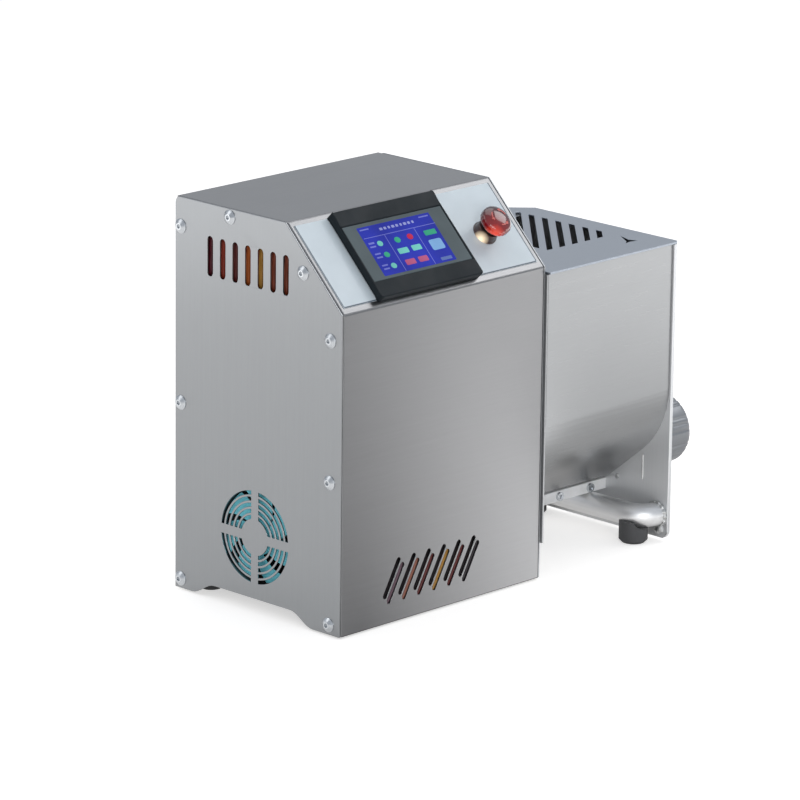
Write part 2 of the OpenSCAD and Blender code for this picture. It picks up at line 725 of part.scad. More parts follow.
module fan_rotor() color([0.25, 0.65, 0.75]) place() translate([sheet_t + 2, fan_y, sheet_gap + fan_z])
  rotate([90, 0, 90]) {
    cylinder(d = 34, h = fan_depth - 7);
    translate([0, 0, fan_depth - 7.5]) cylinder(d = 4, h = 3.2);
    translate([0, 0, (fan_depth - 6) / 2]) intersection() {
      for (i = [0:blade_count - 1]) rotate([0, 0, 360 * i / blade_count]) fan_blade();
      cylinder(d = fan_bore - 4, h = fan_depth - 8, center = true);
    }
  }

// Studs on the left panel's inner face, each with a nut behind the fan's frame
module fan_studs() color("silver") place() for (y = [-1, 1], z = [-1, 1])
  translate([0, fan_y + y * fan_hole_at, sheet_gap + fan_z + z * fan_hole_at]) {
    rod_x(fan_stud_d, sheet_t, sheet_t + fan_depth + 5, 0, 0);
    rod_x(2 * fan_stud_d, sheet_t + fan_depth, sheet_t + fan_depth + 3, 0, 0);
  }

// Motor and reduction gears -------------------------------------------------

module motor_case() color([0.35, 0.37, 0.4]) place() difference() {
  union() {
    rod_x(motor_d - 6, motor_x0 + bell_l, motor_x1, trough_y, auger_z);
    for (i = [0:7]) let (x = motor_x0 + bell_l + 6 + i * 10) rod_x(motor_d, x, x + 4, trough_y, auger_z);
  }
  rod_x(motor_d - 6 - 2 * motor_wall, motor_x0, motor_x1 - 6, trough_y, auger_z);
  rod_x(motor_shaft_d + 4, motor_x0, motor_x1 + 1, trough_y, auger_z);
  rod_x(motor_bearing_d, motor_x1 - 7 - motor_bearing_w + 6, motor_x1 - 1.5, trough_y, auger_z);
}

module motor_end_bell() color([0.4, 0.42, 0.45]) place() difference() {
  rod_x(motor_d - 6, motor_x0, motor_x0 + bell_l, trough_y, auger_z);
  rod_x(motor_bearing_d, motor_x0 + 3, motor_x0 + bell_l + 1, trough_y, auger_z);
  for (a = [0:30:330]) translate([0, trough_y, auger_z]) rotate([a, 0, 0])
    box(motor_x0 - 1, motor_x0 + bell_l + 1, 24, 36, -3, 3);
}

stator_x0 = motor_x0 + bell_l + 10;
stator_x1 = motor_x1 - 24;
rotor_d = motor_d * 0.56;

module motor_stator() color("peru") place() difference() {
  union() {
    rod_x(motor_d - 6 - 2 * motor_wall, stator_x0 + 6, stator_x1 - 6, trough_y, auger_z);
    rod_x(motor_d - 22, stator_x0, stator_x1, trough_y, auger_z);
  }
  rod_x(rotor_d + 1.2, stator_x0 - 1, stator_x1 + 1, trough_y, auger_z);
}

module motor_bearings() color("gainsboro") place() {
  for (x = [motor_x0 + 3, motor_x1 - 1.5 - motor_bearing_w]) difference() {
    rod_x(motor_bearing_d, x, x + motor_bearing_w, trough_y, auger_z);
    rod_x(motor_shaft_d + 2 * SHAFT_FIT, x - 1, x + motor_bearing_w + 1, trough_y, auger_z);
  }
}

module motor_rotor() color("lightgray") place() {
  rod_x(rotor_d, stator_x0 + 6, stator_x1 - 6, trough_y, auger_z);
  rod_x(motor_shaft_d, motor_x0 + 3.5, lay_wheel_x0 - 0.5, trough_y, auger_z);
  gear(reduction_module, pinion_teeth, 0, lay_wheel_x0 - 1, lay_wheel_x0 + wheel_face, trough_y, auger_z);
}

// A sheet cradle between the motor and the base plate
module motor_cradle() color("gray") place() difference() {
  union() {
    box(motor_x0 + 40, motor_x0 + 46, trough_y - 38, trough_y + 38, base_top_z, auger_z - 20);
    box(motor_x0 + 34, motor_x0 + 52, trough_y - 38, trough_y + 38, base_top_z, base_top_z + 3);
  }
  rod_x(motor_d + 0.4, motor_x0 + 30, motor_x0 + 60, trough_y, auger_z);
}

module reduction2d(grow) {
  for (y = [trough_y, lay_y]) translate([y, auger_z]) circle(r = reduction_r + grow);
  translate([trough_y, auger_z - reduction_r - grow]) square([lay_y - trough_y, 2 * (reduction_r + grow)]);
}

module reduction_case() color([0.45, 0.47, 0.5]) place() difference() {
  along_x(reduction_x0, case_x0) reduction2d(reduction_wall);
  along_x(reduction_x0 + reduction_wall, case_x0 + 1) reduction2d(0);
  rod_x(motor_shaft_d + 4, reduction_x0 - 1, case_x0, trough_y, auger_z);
  rod_x(lay_shaft_d + 2 * SHAFT_FIT, reduction_x0 + 1, case_x0, lay_y, auger_z);
}

module reduction_gear() color("darkgray") place() {
  gear(reduction_module, wheel_teeth, 180 + 180 / wheel_teeth, lay_wheel_x0, lay_wheel_x0 + wheel_face,
    lay_y, auger_z);
  gear(reduction_module, pinion_teeth, 180 + 180 / pinion_teeth, lay_wheel_x0 + wheel_face - OVERLAP,
    out_wheel_x0 + wheel_face, lay_y, auger_z);
  rod_x(lay_shaft_d, reduction_x0 + 1.3, lay_wheel_x0 + OVERLAP, lay_y, auger_z);
  rod_x(lay_shaft_d, out_wheel_x0 + wheel_face - OVERLAP, case_x0 + 7, lay_y, auger_z);
}

// Gear case on the right panel ----------------------------------------------

case_screw_places = [for (a = [50, 130]) [trough_y + (case_r + 6) * cos(a), mixer_z + (case_r + 6) * sin(a)]];
case_low_places = [for (a = [-50, -130])
  [trough_y + (case_small_r + 6) * cos(a), auger_z + (case_small_r + 6) * sin(a)]];
case_screws = concat(case_screw_places, case_low_places);

module case2d(grow) {
  tapered2d(trough_y, auger_z, case_small_r + grow, mixer_z, case_r + grow);
}

module case_outline2d() {
  case2d(case_rim);
  for (p = case_screws) translate(p) circle(d = 13);
}

module gear_case() color([0.5, 0.52, 0.54]) place() difference() {
  along_x(case_x0, cover_x0) case_outline2d();
  along_x(case_x1, cover_x0 + 1) case2d(0);
  rod_x(drive_bearing_d, case_x0 - 1, case_x1 + 1, trough_y, auger_z);
  rod_x(mixer_bearing_d, case_x0 - 1, case_x1 + 1, trough_y, mixer_z);
  rod_x(lay_shaft_d + 2 * SHAFT_FIT, case_x0 - 1, case_x0 + 8, lay_y, auger_z);
  for (p = case_screws) rod_x(5.6, case_x0 - 1, cover_x0 + 1, p[0], p[1]);
}

module gear_case_cover() color([0.5, 0.52, 0.54]) place() difference() {
  along_x(cover_x0, right_x) case_outline2d();
  rod_x(drive_bearing_d, cover_x0 - 1, right_x + 1, trough_y, auger_z);
  rod_x(mixer_bearing_d, cover_x0 - 1, right_x + 1, trough_y, mixer_z);
  for (p = case_screws) rod_x(5.6, cover_x0 - 1, right_x + 1, p[0], p[1]);
}

module bearing_pair(outer_d, shaft_d, z) {
  for (x = [case_x1 - bearing_w, cover_x0]) difference() {
    rod_x(outer_d, x, x + bearing_w, trough_y, z);
    rod_x(shaft_d + 2 * SHAFT_FIT, x - 1, x + bearing_w + 1, trough_y, z);
    for (s = [-1, bearing_w - 1]) difference() {
      rod_x(outer_d - 6, x + s, x + s + 2, trough_y, z);
      rod_x(shaft_d + 6, x + s - 1, x + s + 3, trough_y, z);
    }
  }
}

module drive_bearings() color("gainsboro") place() bearing_pair(drive_bearing_d, drive_shaft_d, auger_z);

module mixer_bearings() color("gainsboro") place() bearing_pair(mixer_bearing_d, mixer_shaft_d, mixer_z);

tang = 13;
tang_l = 14;
drive_shaft_x1 = shell_x0 + 3;

module drive_shaft() color("silver") place() {
  gear(reduction_module, wheel_teeth, 0, out_wheel_x0, out_wheel_x0 + wheel_face, trough_y, auger_z);
  rod_x(drive_shaft_d, out_wheel_x0 + wheel_face - OVERLAP, drive_shaft_x1, trough_y, auger_z);
  box(drive_shaft_x1 - OVERLAP, drive_shaft_x1 + tang_l, trough_y - tang / 2, trough_y + tang / 2,
    auger_z - tang / 2, auger_z + tang / 2);
}

module geared_hub(teeth, shaft_d, phase, z) {
  difference() {
    union() {
      gear(gear_module, teeth, phase, gear_x0, gear_x0 + gear_face, trough_y, z);
      rod_x(shaft_d + 14, gear_x0 - 1.5, gear_x0 + gear_face + 1.5, trough_y, z);
    }
    rod_x(shaft_d, gear_x0 - 3, gear_x0 + gear_face + 3, trough_y, z);
    for (a = [0:60:300]) translate([0, trough_y, z]) rotate([a, 0, 0])
      rod_x(gear_module * teeth * 0.13, gear_x0 - 3, gear_x0 + gear_face + 3, gear_module * teeth * 0.3, 0);
  }
}

module auger_gear() color([0.75, 0.6, 0.35]) place() geared_hub(auger_teeth, drive_shaft_d, 90, auger_z);

module mixer_gear() color([0.75, 0.6, 0.35]) place()
  geared_hub(mixer_teeth, mixer_shaft_d, 270 + 180 / mixer_teeth, mixer_z);

module shaft_seals() color([0.12, 0.12, 0.12]) place()
  for (s = [[drive_shaft_d, auger_z], [mixer_shaft_d, mixer_z]]) difference() {
    rod_x(s[0] + 2 * seal_ring, right_x, shell_x0, trough_y, s[1]);
    rod_x(s[0] + 2 * SHAFT_FIT, right_x - 1, shell_x0 + 1, trough_y, s[1]);
  }

// Trough --------------------------------------------------------------------

module trough2d(inset) {
  tapered2d(trough_y, auger_z, channel_r - inset, chamber_z, chamber_r - inset);
  half_w = chamber_r - inset - TANGENT_INSET;
  translate([trough_y - half_w, chamber_z]) square([2 * half_w, rim_z - chamber_z]);
}

module trough_shell() color("lightgray") place() {
  mouth_half_w = chamber_r - trough_t - TANGENT_INSET;
  along_x(shell_x0, shell_x1) difference() {
    trough2d(0);
    trough2d(trough_t);
    translate([trough_y - mouth_half_w, rim_z - 1]) square([2 * mouth_half_w, 2]);
  }
  difference() {
    box(shell_x0, shell_x1, trough_rear_y - trough_t / 2, trough_rear_y + ledge_d, rim_z - trough_t, rim_z);
    translate([end_x, trough_rear_y + ledge_d, rim_z]) rotate([0, 0, 45]) cube([40, 40, 10], center = true);
  }
  for (x = lug_places) difference() {
    box(x - 8, x + 8, bar_y1 + SEAT, trough_y + 2, bar_z0 + 1, auger_z - channel_r + 1);
    rod_y(bar_screw_d + 0.2, bar_y1, trough_y + 3, x, bar_mid_z);
  }
}

module trough_back_plate() color("silver") place() {
  difference() {
    box(housing_w, shell_x0, trough_front_y, trough_rear_y, auger_z - channel_r - 12, rim_z);
    rod_x(drive_shaft_d + 2 * seal_ring, housing_w - 1, shell_x0 + 1, trough_y, auger_z);
    rod_x(mixer_shaft_d + 2 * seal_ring, housing_w - 1, shell_x0 + 1, trough_y, mixer_z);
  }
  for (p = studs) rod_x(stud_d, housing_w - stud_l, housing_w + OVERLAP, p[0], p[1]);
}

// Nuts on the back plate's studs, on the flange in front and on the panel behind
module trough_nuts() color("silver") place() for (p = studs) {
  x1 = p[0] < flange_w ? right_x - sheet_t : right_x;
  difference() {
    translate([x1 - stud_nut_h, p[0], p[1]]) rotate([0, 90, 0]) cylinder(d = 11.5, h = stud_nut_h, $fn = 6);
    rod_x(stud_d + 0.1, x1 - stud_nut_h - 1, x1 + 1, p[0], p[1]);
  }
}

module trough_end_plate() color("lightgray") place() difference() {
  along_x(shell_x1, end_x) {
    y0 = trough_front_y - plate_lip;
    w = 2 * chamber_r + plate_lip + 3;
    difference() {
      translate([y0, end_plate_z]) square([w, rim_z - end_plate_z]);
      for (s = [0, 1]) translate([y0 + 8 + s * (w - 16), end_plate_z + 8]) difference() {
        translate([s * 9 - 9, -9]) square(9);
        circle(r = 8);
      }
    }
  }
  rod_x(barrel_d + 0.2, shell_x1 - 1, end_x + 1, trough_y, auger_z);
  for (a = [45:90:315]) rod_x(5.4, shell_x1 - 1, end_x + 1, trough_y + barrel_bolt_r * cos(a),
    auger_z + barrel_bolt_r * sin(a));
}

// Lid -------------------------------------------------------------------------

module lid_outline() {
  corner = 24;
  polygon([[lid_x0, lid_front_y], [lid_x1 - 4, lid_front_y], [lid_x1, lid_front_y + 4],
    [lid_x1, lid_rear_y - corner], [lid_x1 - corner, lid_rear_y], [lid_x0, lid_rear_y]]);
}

module lid_slots() {
  first_x = lid_window_x1 - lid_window_y0 - lid_slot_inset;
  count = floor((lid_window_l + lid_window_d - 2 * lid_slot_inset) / lid_slot_pitch);
  intersection() {
    translate([lid_window_x0, lid_window_y0]) square([lid_window_l, lid_window_d]);
    for (i = [0:count]) translate([first_x - i * lid_slot_pitch, 0]) rotate(45)
      translate([0, -lid_slot_w / 2]) square([2 * (lid_window_x1 + lid_window_d), lid_slot_w]);
  }
}

// A barbed arrowhead, 24 long
module arrow2d() polygon([[7.2, 16.6], [1.7, 2], [5.2, -7.4], [-3.7, -5.2], [-10.4, -6.3], [-4.9, -2]]);

knuckle_count = 5;
lid_knuckles = [for (i = [0:knuckle_count - 1]) lid_x0 + 12 + i * 2 * (knuckle_l + knuckle_gap)];

module knuckle(x0, bore) {
  difference() {
    rod_x(knuckle_d, x0, x0 + knuckle_l, hinge_y, hinge_z);
    rod_x(bore, x0 - 1, x0 + knuckle_l + 1, hinge_y, hinge_z);
  }
}

module lid() color("lightslategray") place() {
  translate([0, 0, lid_z0]) linear_extrude(lid_t) difference() {
    lid_outline();
    lid_slots();
    translate([end_x - 29.3, trough_front_y + 32.9]) scale(lid_arrow / 24) arrow2d();
  }
  for (x = lid_knuckles) {
    knuckle(x, hinge_pin_d + 2 * pin_clearance);
    box(x, x + knuckle_l, lid_rear_y - OVERLAP, hinge_y - hinge_pin_d / 2 - 0.3, lid_z0, lid_z0 + lid_t);
  }
}

// The fixed hinge leaf under the ledge, with its knuckles and the pin
module hinge_leaf() color("silver") place() {
  for (i = [0:knuckle_count - 2]) {
    x0 = lid_knuckles[i] + knuckle_l + knuckle_gap;
    rod_x(knuckle_d, x0, x0 + knuckle_l, hinge_y, hinge_z);
    box(x0, x0 + knuckle_l, trough_rear_y + 8, hinge_y, hinge_leaf_z - leaf_t, hinge_leaf_z);
    box(x0, x0 + knuckle_l, hinge_y - 1.5, hinge_y + 1.5, hinge_leaf_z - leaf_t, hinge_z);
  }
  rod_x(hinge_pin_d, lid_knuckles[0], lid_knuckles[knuckle_count - 1] + knuckle_l, hinge_y, hinge_z);
  box(lid_knuckles[0], lid_knuckles[knuckle_count - 1] + knuckle_l,
    trough_rear_y + 8, trough_rear_y + ledge_d - 4, hinge_leaf_z - leaf_t, hinge_leaf_z);
}

// A magnet under the lid and its sensor inside the housing
module lid_magnet() color([0.25, 0.25, 0.27]) place() translate([lid_x0 + 8, trough_y, lid_z0 - 5])
  cylinder(d = 10, h = 5);

module lid_sensor() color([0.2, 0.2, 0.2]) place() difference() {
  box(right_x - 14, right_x, trough_y - 12, trough_y + 12, lid_z0 - 5, lid_z0 + 11);
  rod_x(3.4, right_x - 15, right_x + 1, trough_y, lid_z0 + 7);
}

// Mixer, auger, barrel, die and nut ---------------------------------------------

bush_l = 10;
mixer_x1 = shell_x1 - 3;
paddle_pitch = (trough_l - 30) / paddle_count;

module paddle(x, up) {
  translate([x, trough_y, mixer_z]) scale([1, 1, up]) {
    cylinder(d = 10, h = paddle_r - 24);
    translate([0, 0, paddle_r - 15]) rotate([0, 0, 35]) cube([24, 4, 27], center = true);
  }
}

module mixer_shaft() color("gainsboro") place() {
  rod_x(mixer_shaft_d, case_x0, mixer_x1, trough_y, mixer_z);
  for (i = [0:paddle_count - 1]) paddle(shell_x0 + 15 + (i + 0.5) * paddle_pitch, i % 2 == 0 ? 1 : -1);
}

module mixer_end_bush() color("ivory") place() difference() {
  rod_x(mixer_shaft_d + 10, shell_x1 - bush_l, shell_x1, trough_y, mixer_z);
  rod_x(mixer_shaft_d + 2 * SHAFT_FIT, shell_x1 - bush_l - 1, mixer_x1 + SEAT, trough_y, mixer_z);
}

auger_x0 = shell_x0 + 3.3;
auger_x1 = barrel_x1 - 4;
flight_x0 = auger_x0 + 6;
flight_turns = (auger_x1 - 8 - flight_x0) / auger_pitch;
flight_steps = ceil(flight_turns * 24);

// Four corners of the flight's section at step i
function flight_ring(i) = let (
    a = 15 * i, x = flight_x0 + auger_pitch * i / 24, r0 = auger_core_d / 2 - 1.5, r1 = auger_d / 2)
  [for (c = [[r0, 0], [r1, 0], [r1, flight_t], [r0, flight_t]])
    [x + c[1], c[0] * cos(a), c[0] * sin(a)]];

module flight() {
  points = [for (i = [0:flight_steps - 1]) each flight_ring(i)];
  last = 4 * (flight_steps - 1);
  sides = [for (i = [0:flight_steps - 2], k = [0:3]) let (b = 4 * i, n = (k + 1) % 4)
    each [[b + k, b + n, b + 4 + n], [b + k, b + 4 + n, b + 4 + k]]];
  polyhedron(points, concat([[3, 2, 1, 0]], sides, [[last, last + 1, last + 2, last + 3]]), convexity = 12);
}

module auger() color("silver") place() difference() {
  union() {
    rod_x(auger_core_d, auger_x0, auger_x1, trough_y, auger_z);
    translate([0, trough_y, auger_z]) flight();
  }
  box(auger_x0 - 1, drive_shaft_x1 + tang_l + 1, trough_y - tang / 2 - 0.1, trough_y + tang / 2 + 0.1,
    auger_z - tang / 2 - 0.1, auger_z + tang / 2 + 0.1);
}

module barrel() color("silver") place() difference() {
  union() {
    rod_x(barrel_d, shell_x1, barrel_x1, trough_y, auger_z);
    rod_x(2 * barrel_flange_r, end_x, end_x + barrel_flange_t, trough_y, auger_z);
    for (a = [45:90:315]) rod_x(10, end_x + barrel_flange_t - OVERLAP, end_x + barrel_flange_t + 4,
      trough_y + barrel_bolt_r * cos(a), auger_z + barrel_bolt_r * sin(a));
  }
  rod_x(barrel_bore, shell_x1 - 1, barrel_x1 + 1, trough_y, auger_z);
  for (x = [nut_x0 + thread_pitch : thread_pitch : barrel_x1 - thread_pitch / 2])
    translate([x, trough_y, auger_z]) rotate([0, 90, 0]) rotate_extrude()
      translate([barrel_d / 2, 0]) circle(r = thread_depth, $fn = 4);
}

module pasta_die() color([0.8, 0.62, 0.3]) place() difference() {
  rod_x(2 * die_r, die_x0, die_x1, trough_y, auger_z);
  for (a = [0:360 / die_hole_count:359]) rod_x(die_hole_d, die_x0 - 1, die_x1 + 1,
    trough_y + die_ring_r * cos(a), auger_z + die_ring_r * sin(a));
}

module ring_nut() color("darkgray") place() difference() {
  rod_x(nut_d, nut_x0, nut_x1, trough_y, auger_z);
  rod_x(nut_bore, nut_x0 - 1, nut_x1 - nut_lip, trough_y, auger_z);
  rod_x(2 * nut_mouth_r, nut_x0, nut_x1 + 1, trough_y, auger_z);
  for (a = [0:15:345]) rod_x(3, nut_x0 - 1, nut_x1 - 5, trough_y + (nut_d / 2 + 0.6) * cos(a),
    auger_z + (nut_d / 2 + 0.6) * sin(a));
}

// Trough support ------------------------------------------------------------------

tube_x = shell_x1 - tube_bend_r;
tube_far_y = 2 * trough_y - tube_end_y;
trough_foot_at = 11.4;  // from the tube's end to the foot's middle
foot_edge = 3;          // bevel around the foot's lower edge
foot_below_axis = 4;    // the foot's lips end this far below the tube's axis
foot_fit = 0.1;
bar_offset = 5.6;      // from the trough's middle to the bar's rear face
bar_screw_d = 4;
bar_screw_head_d = 8.5;
bar_screw_head_h = 2.5;
bar_z0 = tube_z + tube_d / 2 + SEAT;
bar_z1 = auger_z - sqrt(channel_r * channel_r - bar_offset * bar_offset) - SEAT;
bar_mid_z = (bar_z0 + bar_z1) / 2;
bar_y1 = trough_y - bar_offset;
lug_places = [shell_x1 - 65.5, shell_x1 - 23];

module bent_tube(d) {
  rod_y(d, tube_end_y + tube_bend_r, tube_far_y - tube_bend_r, tube_x, tube_z);
  for (s = [[tube_end_y + tube_bend_r, -1], [tube_far_y - tube_bend_r, 1]]) intersection() {
    translate([shell_x1, s[0], tube_z]) rotate_extrude() translate([tube_bend_r, 0]) circle(d = d);
    translate([shell_x1 - 50, s[0] - 25 + s[1] * 25, tube_z - 25]) cube(50);
  }
}

module support_tube() color("gainsboro") place() difference() {
  bent_tube(tube_d);
  bent_tube(tube_d - 2 * tube_wall);
}

module support_bar() color("gainsboro") place() difference() {
  box(shell_x0, shell_x1, bar_y1 - bar_t, bar_y1, bar_z0, bar_z1);
  for (x = lug_places) rod_y(bar_screw_d + screw_clearance, bar_y1 - bar_t - 1, bar_y1 + 1, x, bar_mid_z);
}

module support_bar_screws() color("whitesmoke") place() for (x = lug_places) difference() {
  union() {
    rod_y(bar_screw_head_d, bar_y1 - bar_t - bar_screw_head_h, bar_y1 - bar_t, x, bar_mid_z);
    rod_y(bar_screw_d, bar_y1 - bar_t - OVERLAP, bar_y1 + bar_offset, x, bar_mid_z);
  }
  translate([x, bar_y1 - bar_t - bar_screw_head_h, bar_mid_z]) for (a = [45, 135]) rotate([0, a, 0])
    cube([bar_screw_head_d * 0.6, 2.4, 1.1], center = true);
}

// Rubber feet that cup the tube just behind its bends
module trough_feet() color([0.1, 0.1, 0.1]) place()
  for (s = [[tube_end_y, 1], [tube_far_y, -1]]) translate([tube_x, s[0] + s[1] * trough_foot_at, 0])
    difference() {
      union() {
        cylinder(d1 = trough_foot_d - 2 * foot_edge, d2 = trough_foot_d, h = foot_edge + OVERLAP / 4);
        translate([0, 0, foot_edge]) cylinder(d = trough_foot_d, h = tube_z - foot_edge - foot_below_axis);
      }
      rod_y(tube_d + 2 * foot_fit, -trough_foot_d, trough_foot_d, 0, tube_z);
      translate([tube_bend_r, s[1] * (tube_bend_r - trough_foot_at), tube_z]) rotate_extrude()
        translate([tube_bend_r, 0]) circle(d = tube_d + 2 * foot_fit);
    }

// Electrics ------------------------------------------------------------------------

// A mains socket below a rocker switch, in one moulding
module power_inlet() color([0.1, 0.1, 0.1]) place() translate([inlet_x, housing_d, inlet_z]) {
  difference() {
    union() {
      translate([-22, 0, -32]) cube([44, inlet_proud, 64]);
      translate([-inlet_w / 2 + 0.2, -24, -inlet_h / 2 + 0.2])
        cube([inlet_w - 0.4, 24 + OVERLAP, inlet_h - 0.4]);
    }
    translate([-12, -14, socket_z - 8]) cube([24, 30, 16]);
    translate([-rocker_w / 2, -16, rocker_z - rocker_half - 1.6]) cube([rocker_w, 30, 2 * rocker_half + 3.2]);
  }
  for (p = [[-7, -2], [7, -2], [0, 2]])
    translate([p[0] - 1, -14 - OVERLAP, socket_z + p[1] - 2]) cube([2, 8, 4]);
  for (x = [-rocker_w / 2 - 0.01, rocker_w / 2 - 1.49]) translate([x, inlet_proud - rocker_depth, rocker_z])
    rotate([0, 90, 0]) cylinder(d = 4, h = 1.5);
}

module power_rocker() color([0.7, 0.08, 0.05]) place()
  translate([inlet_x, housing_d + inlet_proud - rocker_depth, inlet_z + rocker_z])
    rotate([-rocker_tilt, 0, 0]) difference() {
      along_x(-rocker_w / 2 + 0.3, rocker_w / 2 - 0.3)
        polygon([[-5, -rocker_half + 4], [3, -rocker_half], [5, -rocker_half], [3.4, 0], [5, rocker_half],
          [3, rocker_half], [-5, rocker_half - 4]]);
      for (x = [-rocker_w / 2 - 1, rocker_w / 2 - 1.9]) rod_x(4 + 2 * SHAFT_FIT, x, x + 2.9, 0, 0);
    }

board_w = 130;
board_h = 130;
board_t = 2;
board_x0 = inlet_x;
board_z0 = inlet_z + 50;
standoff_l = 12;
standoff_d = 6;
heat_sink = [45, 30, 45];
capacitors = [45, 20, 60];

// The motor drive's board on standoffs behind the vents of the rear panel
module drive_board() color("seagreen") place() translate([board_x0, back_y - standoff_l, board_z0]) {
  translate([0, -board_t, 0]) cube([board_w, board_t, board_h]);
  for (x = [standoff_d, board_w - standoff_d], z = [standoff_d, board_h - standoff_d])
    rod_y(standoff_d, 0, standoff_l, x, z);
  translate([15, -board_t - heat_sink[1], 15]) cube(heat_sink + [0, OVERLAP, 0]);
  translate([board_w - 15 - capacitors[0], -board_t - capacitors[1], 40]) cube(capacitors + [0, OVERLAP, 0]);
}

base_plate();
wrap_cover();
left_side_panel();
right_side_panel();
rear_panel();
side_panel_screws();
flush_panel_screws();
panel_rivet_nuts();
housing_feet();
housing_foot_screws();
control_label();
screen_bezel();
screen_glass();
screen_body();
screen_clamps();
stop_collar();
stop_locknut();
stop_contact_block();
stop_plunger();
stop_head();
fan_frame();
fan_rotor();
fan_studs();
motor_case();
motor_end_bell();
motor_stator();
motor_rotor();
motor_bearings();
motor_cradle();
reduction_case();
reduction_gear();
gear_case();
gear_case_cover();
drive_bearings();
mixer_bearings();
drive_shaft();
auger_gear();
mixer_gear();
shaft_seals();
trough_back_plate();
trough_nuts();
trough_shell();
trough_end_plate();
lid();
lid_magnet();
lid_sensor();
hinge_leaf();
mixer_shaft();
mixer_end_bush();
auger();
barrel();
pasta_die();
ring_nut();
support_tube();
support_bar();
support_bar_screws();
trough_feet();
power_inlet();
power_rocker();
drive_board();
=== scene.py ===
"""Electric pasta maker: meshes, finishes, light and camera over the machine's CAD frame.

Sizes are millimetres in the machine's own frame: X runs from the housing's left
panel to the trough, Y from the front panel to the back, Z up from the table.
"""
import logging
import math
from dataclasses import dataclass, field
from enum import Enum
from typing import Callable, ClassVar, Sequence

import bmesh
import bpy
from mathutils import Matrix, Vector


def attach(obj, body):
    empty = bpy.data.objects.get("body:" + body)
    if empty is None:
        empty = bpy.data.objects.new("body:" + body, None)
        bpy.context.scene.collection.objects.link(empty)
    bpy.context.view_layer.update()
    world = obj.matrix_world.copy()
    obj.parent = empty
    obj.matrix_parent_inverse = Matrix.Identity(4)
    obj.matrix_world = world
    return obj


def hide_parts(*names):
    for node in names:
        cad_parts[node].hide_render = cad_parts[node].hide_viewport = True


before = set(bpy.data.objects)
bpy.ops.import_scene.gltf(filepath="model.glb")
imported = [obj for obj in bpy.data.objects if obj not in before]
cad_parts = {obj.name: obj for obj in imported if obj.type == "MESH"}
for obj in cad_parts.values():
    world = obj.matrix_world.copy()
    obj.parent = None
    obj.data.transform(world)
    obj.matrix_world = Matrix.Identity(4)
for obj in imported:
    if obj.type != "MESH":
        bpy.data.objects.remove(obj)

LOG = logging.getLogger("pasta_maker")
MM = 0.001
MIDDLE = Vector((263.3, 104.5, 0.0))
SLOPE_FOOT = 296.0

Colour = tuple[float, float, float, float]
Point = tuple[float, float, float]
Outline = Sequence[tuple[float, float]]
Socket = bpy.types.NodeSocket
Sockets = bpy.types.NodeOutputs
Value = float | Colour | Point | Socket

NO_LIGHT: Colour = (0.0, 0.0, 0.0, 1.0)
FULL_LIGHT: Colour = (1.0, 1.0, 1.0, 1.0)
TINY = 1e-6


def tone(red: int, green: int, blue: int) -> Colour:
    """Give the linear colour of an 8-bit display colour."""
    parts = [part / 255 for part in (red, green, blue)]
    linear = [p / 12.92 if p <= 0.04045 else ((p + 0.055) / 1.055) ** 2.4 for p in parts]
    return linear[0], linear[1], linear[2], 1.0


class Axis(Enum):
    """A direction of the machine, as a brushed sheet's grain or a shaft can run."""

    X = (1.0, 0.0, 0.0)
    Y = (0.0, 1.0, 0.0)
    Z = (0.0, 0.0, 1.0)


# Places ----------------------------------------------------------------------

MACHINE = Matrix.Scale(MM, 4) @ Matrix.Translation(-MIDDLE)
SLOPE = MACHINE @ Matrix.Translation((0, 0, SLOPE_FOOT)) @ Matrix.Rotation(math.radians(45), 4, "X")


def on_slope(x: float, s: float, h: float = 0.0) -> Matrix:
    """Give the place at x, s up the control slope and h above it, in metres."""
    return SLOPE @ Matrix.Translation((x, s, h))


def along_x(x: float, y: float, z: float) -> Matrix:
    """Give a place whose own axes run along the machine's Y, Z and X."""
    turn = Matrix(((0, 0, 1, x), (1, 0, 0, y), (0, 1, 0, z), (0, 0, 0, 1)))
    return MACHINE @ turn


# Meshes ----------------------------------------------------------------------


def put(name: str, data: bpy.types.ID) -> bpy.types.Object:
    """Put an object of some data in the scene."""
    made = bpy.data.objects.new(name, data)
    bpy.context.scene.collection.objects.link(made)
    return made


def rounded_outline(width: float, height: float, radius: float, steps: int = 6) -> Outline:
    """Draw a rectangle with round corners about the middle.

    Args:
        width: Full width.
        height: Full height.
        radius: Corner radius.
        steps: Edges in each corner.

    Returns:
        The outline's points, anticlockwise.
    """
    points = []
    for quarter, (sx, sy) in enumerate([(1, 1), (-1, 1), (-1, -1), (1, -1)]):
        for i in range(steps + 1):
            angle = math.pi / 2 * (quarter + i / steps)
            points.append((sx * (width / 2 - radius) + radius * math.cos(angle),
                           sy * (height / 2 - radius) + radius * math.sin(angle)))
    return points


def oval_outline(width: float, height: float, steps: int = 32) -> Outline:
    """Draw an ellipse about the middle."""
    return [(width / 2 * math.cos(math.tau * i / steps), height / 2 * math.sin(math.tau * i / steps))
            for i in range(steps)]


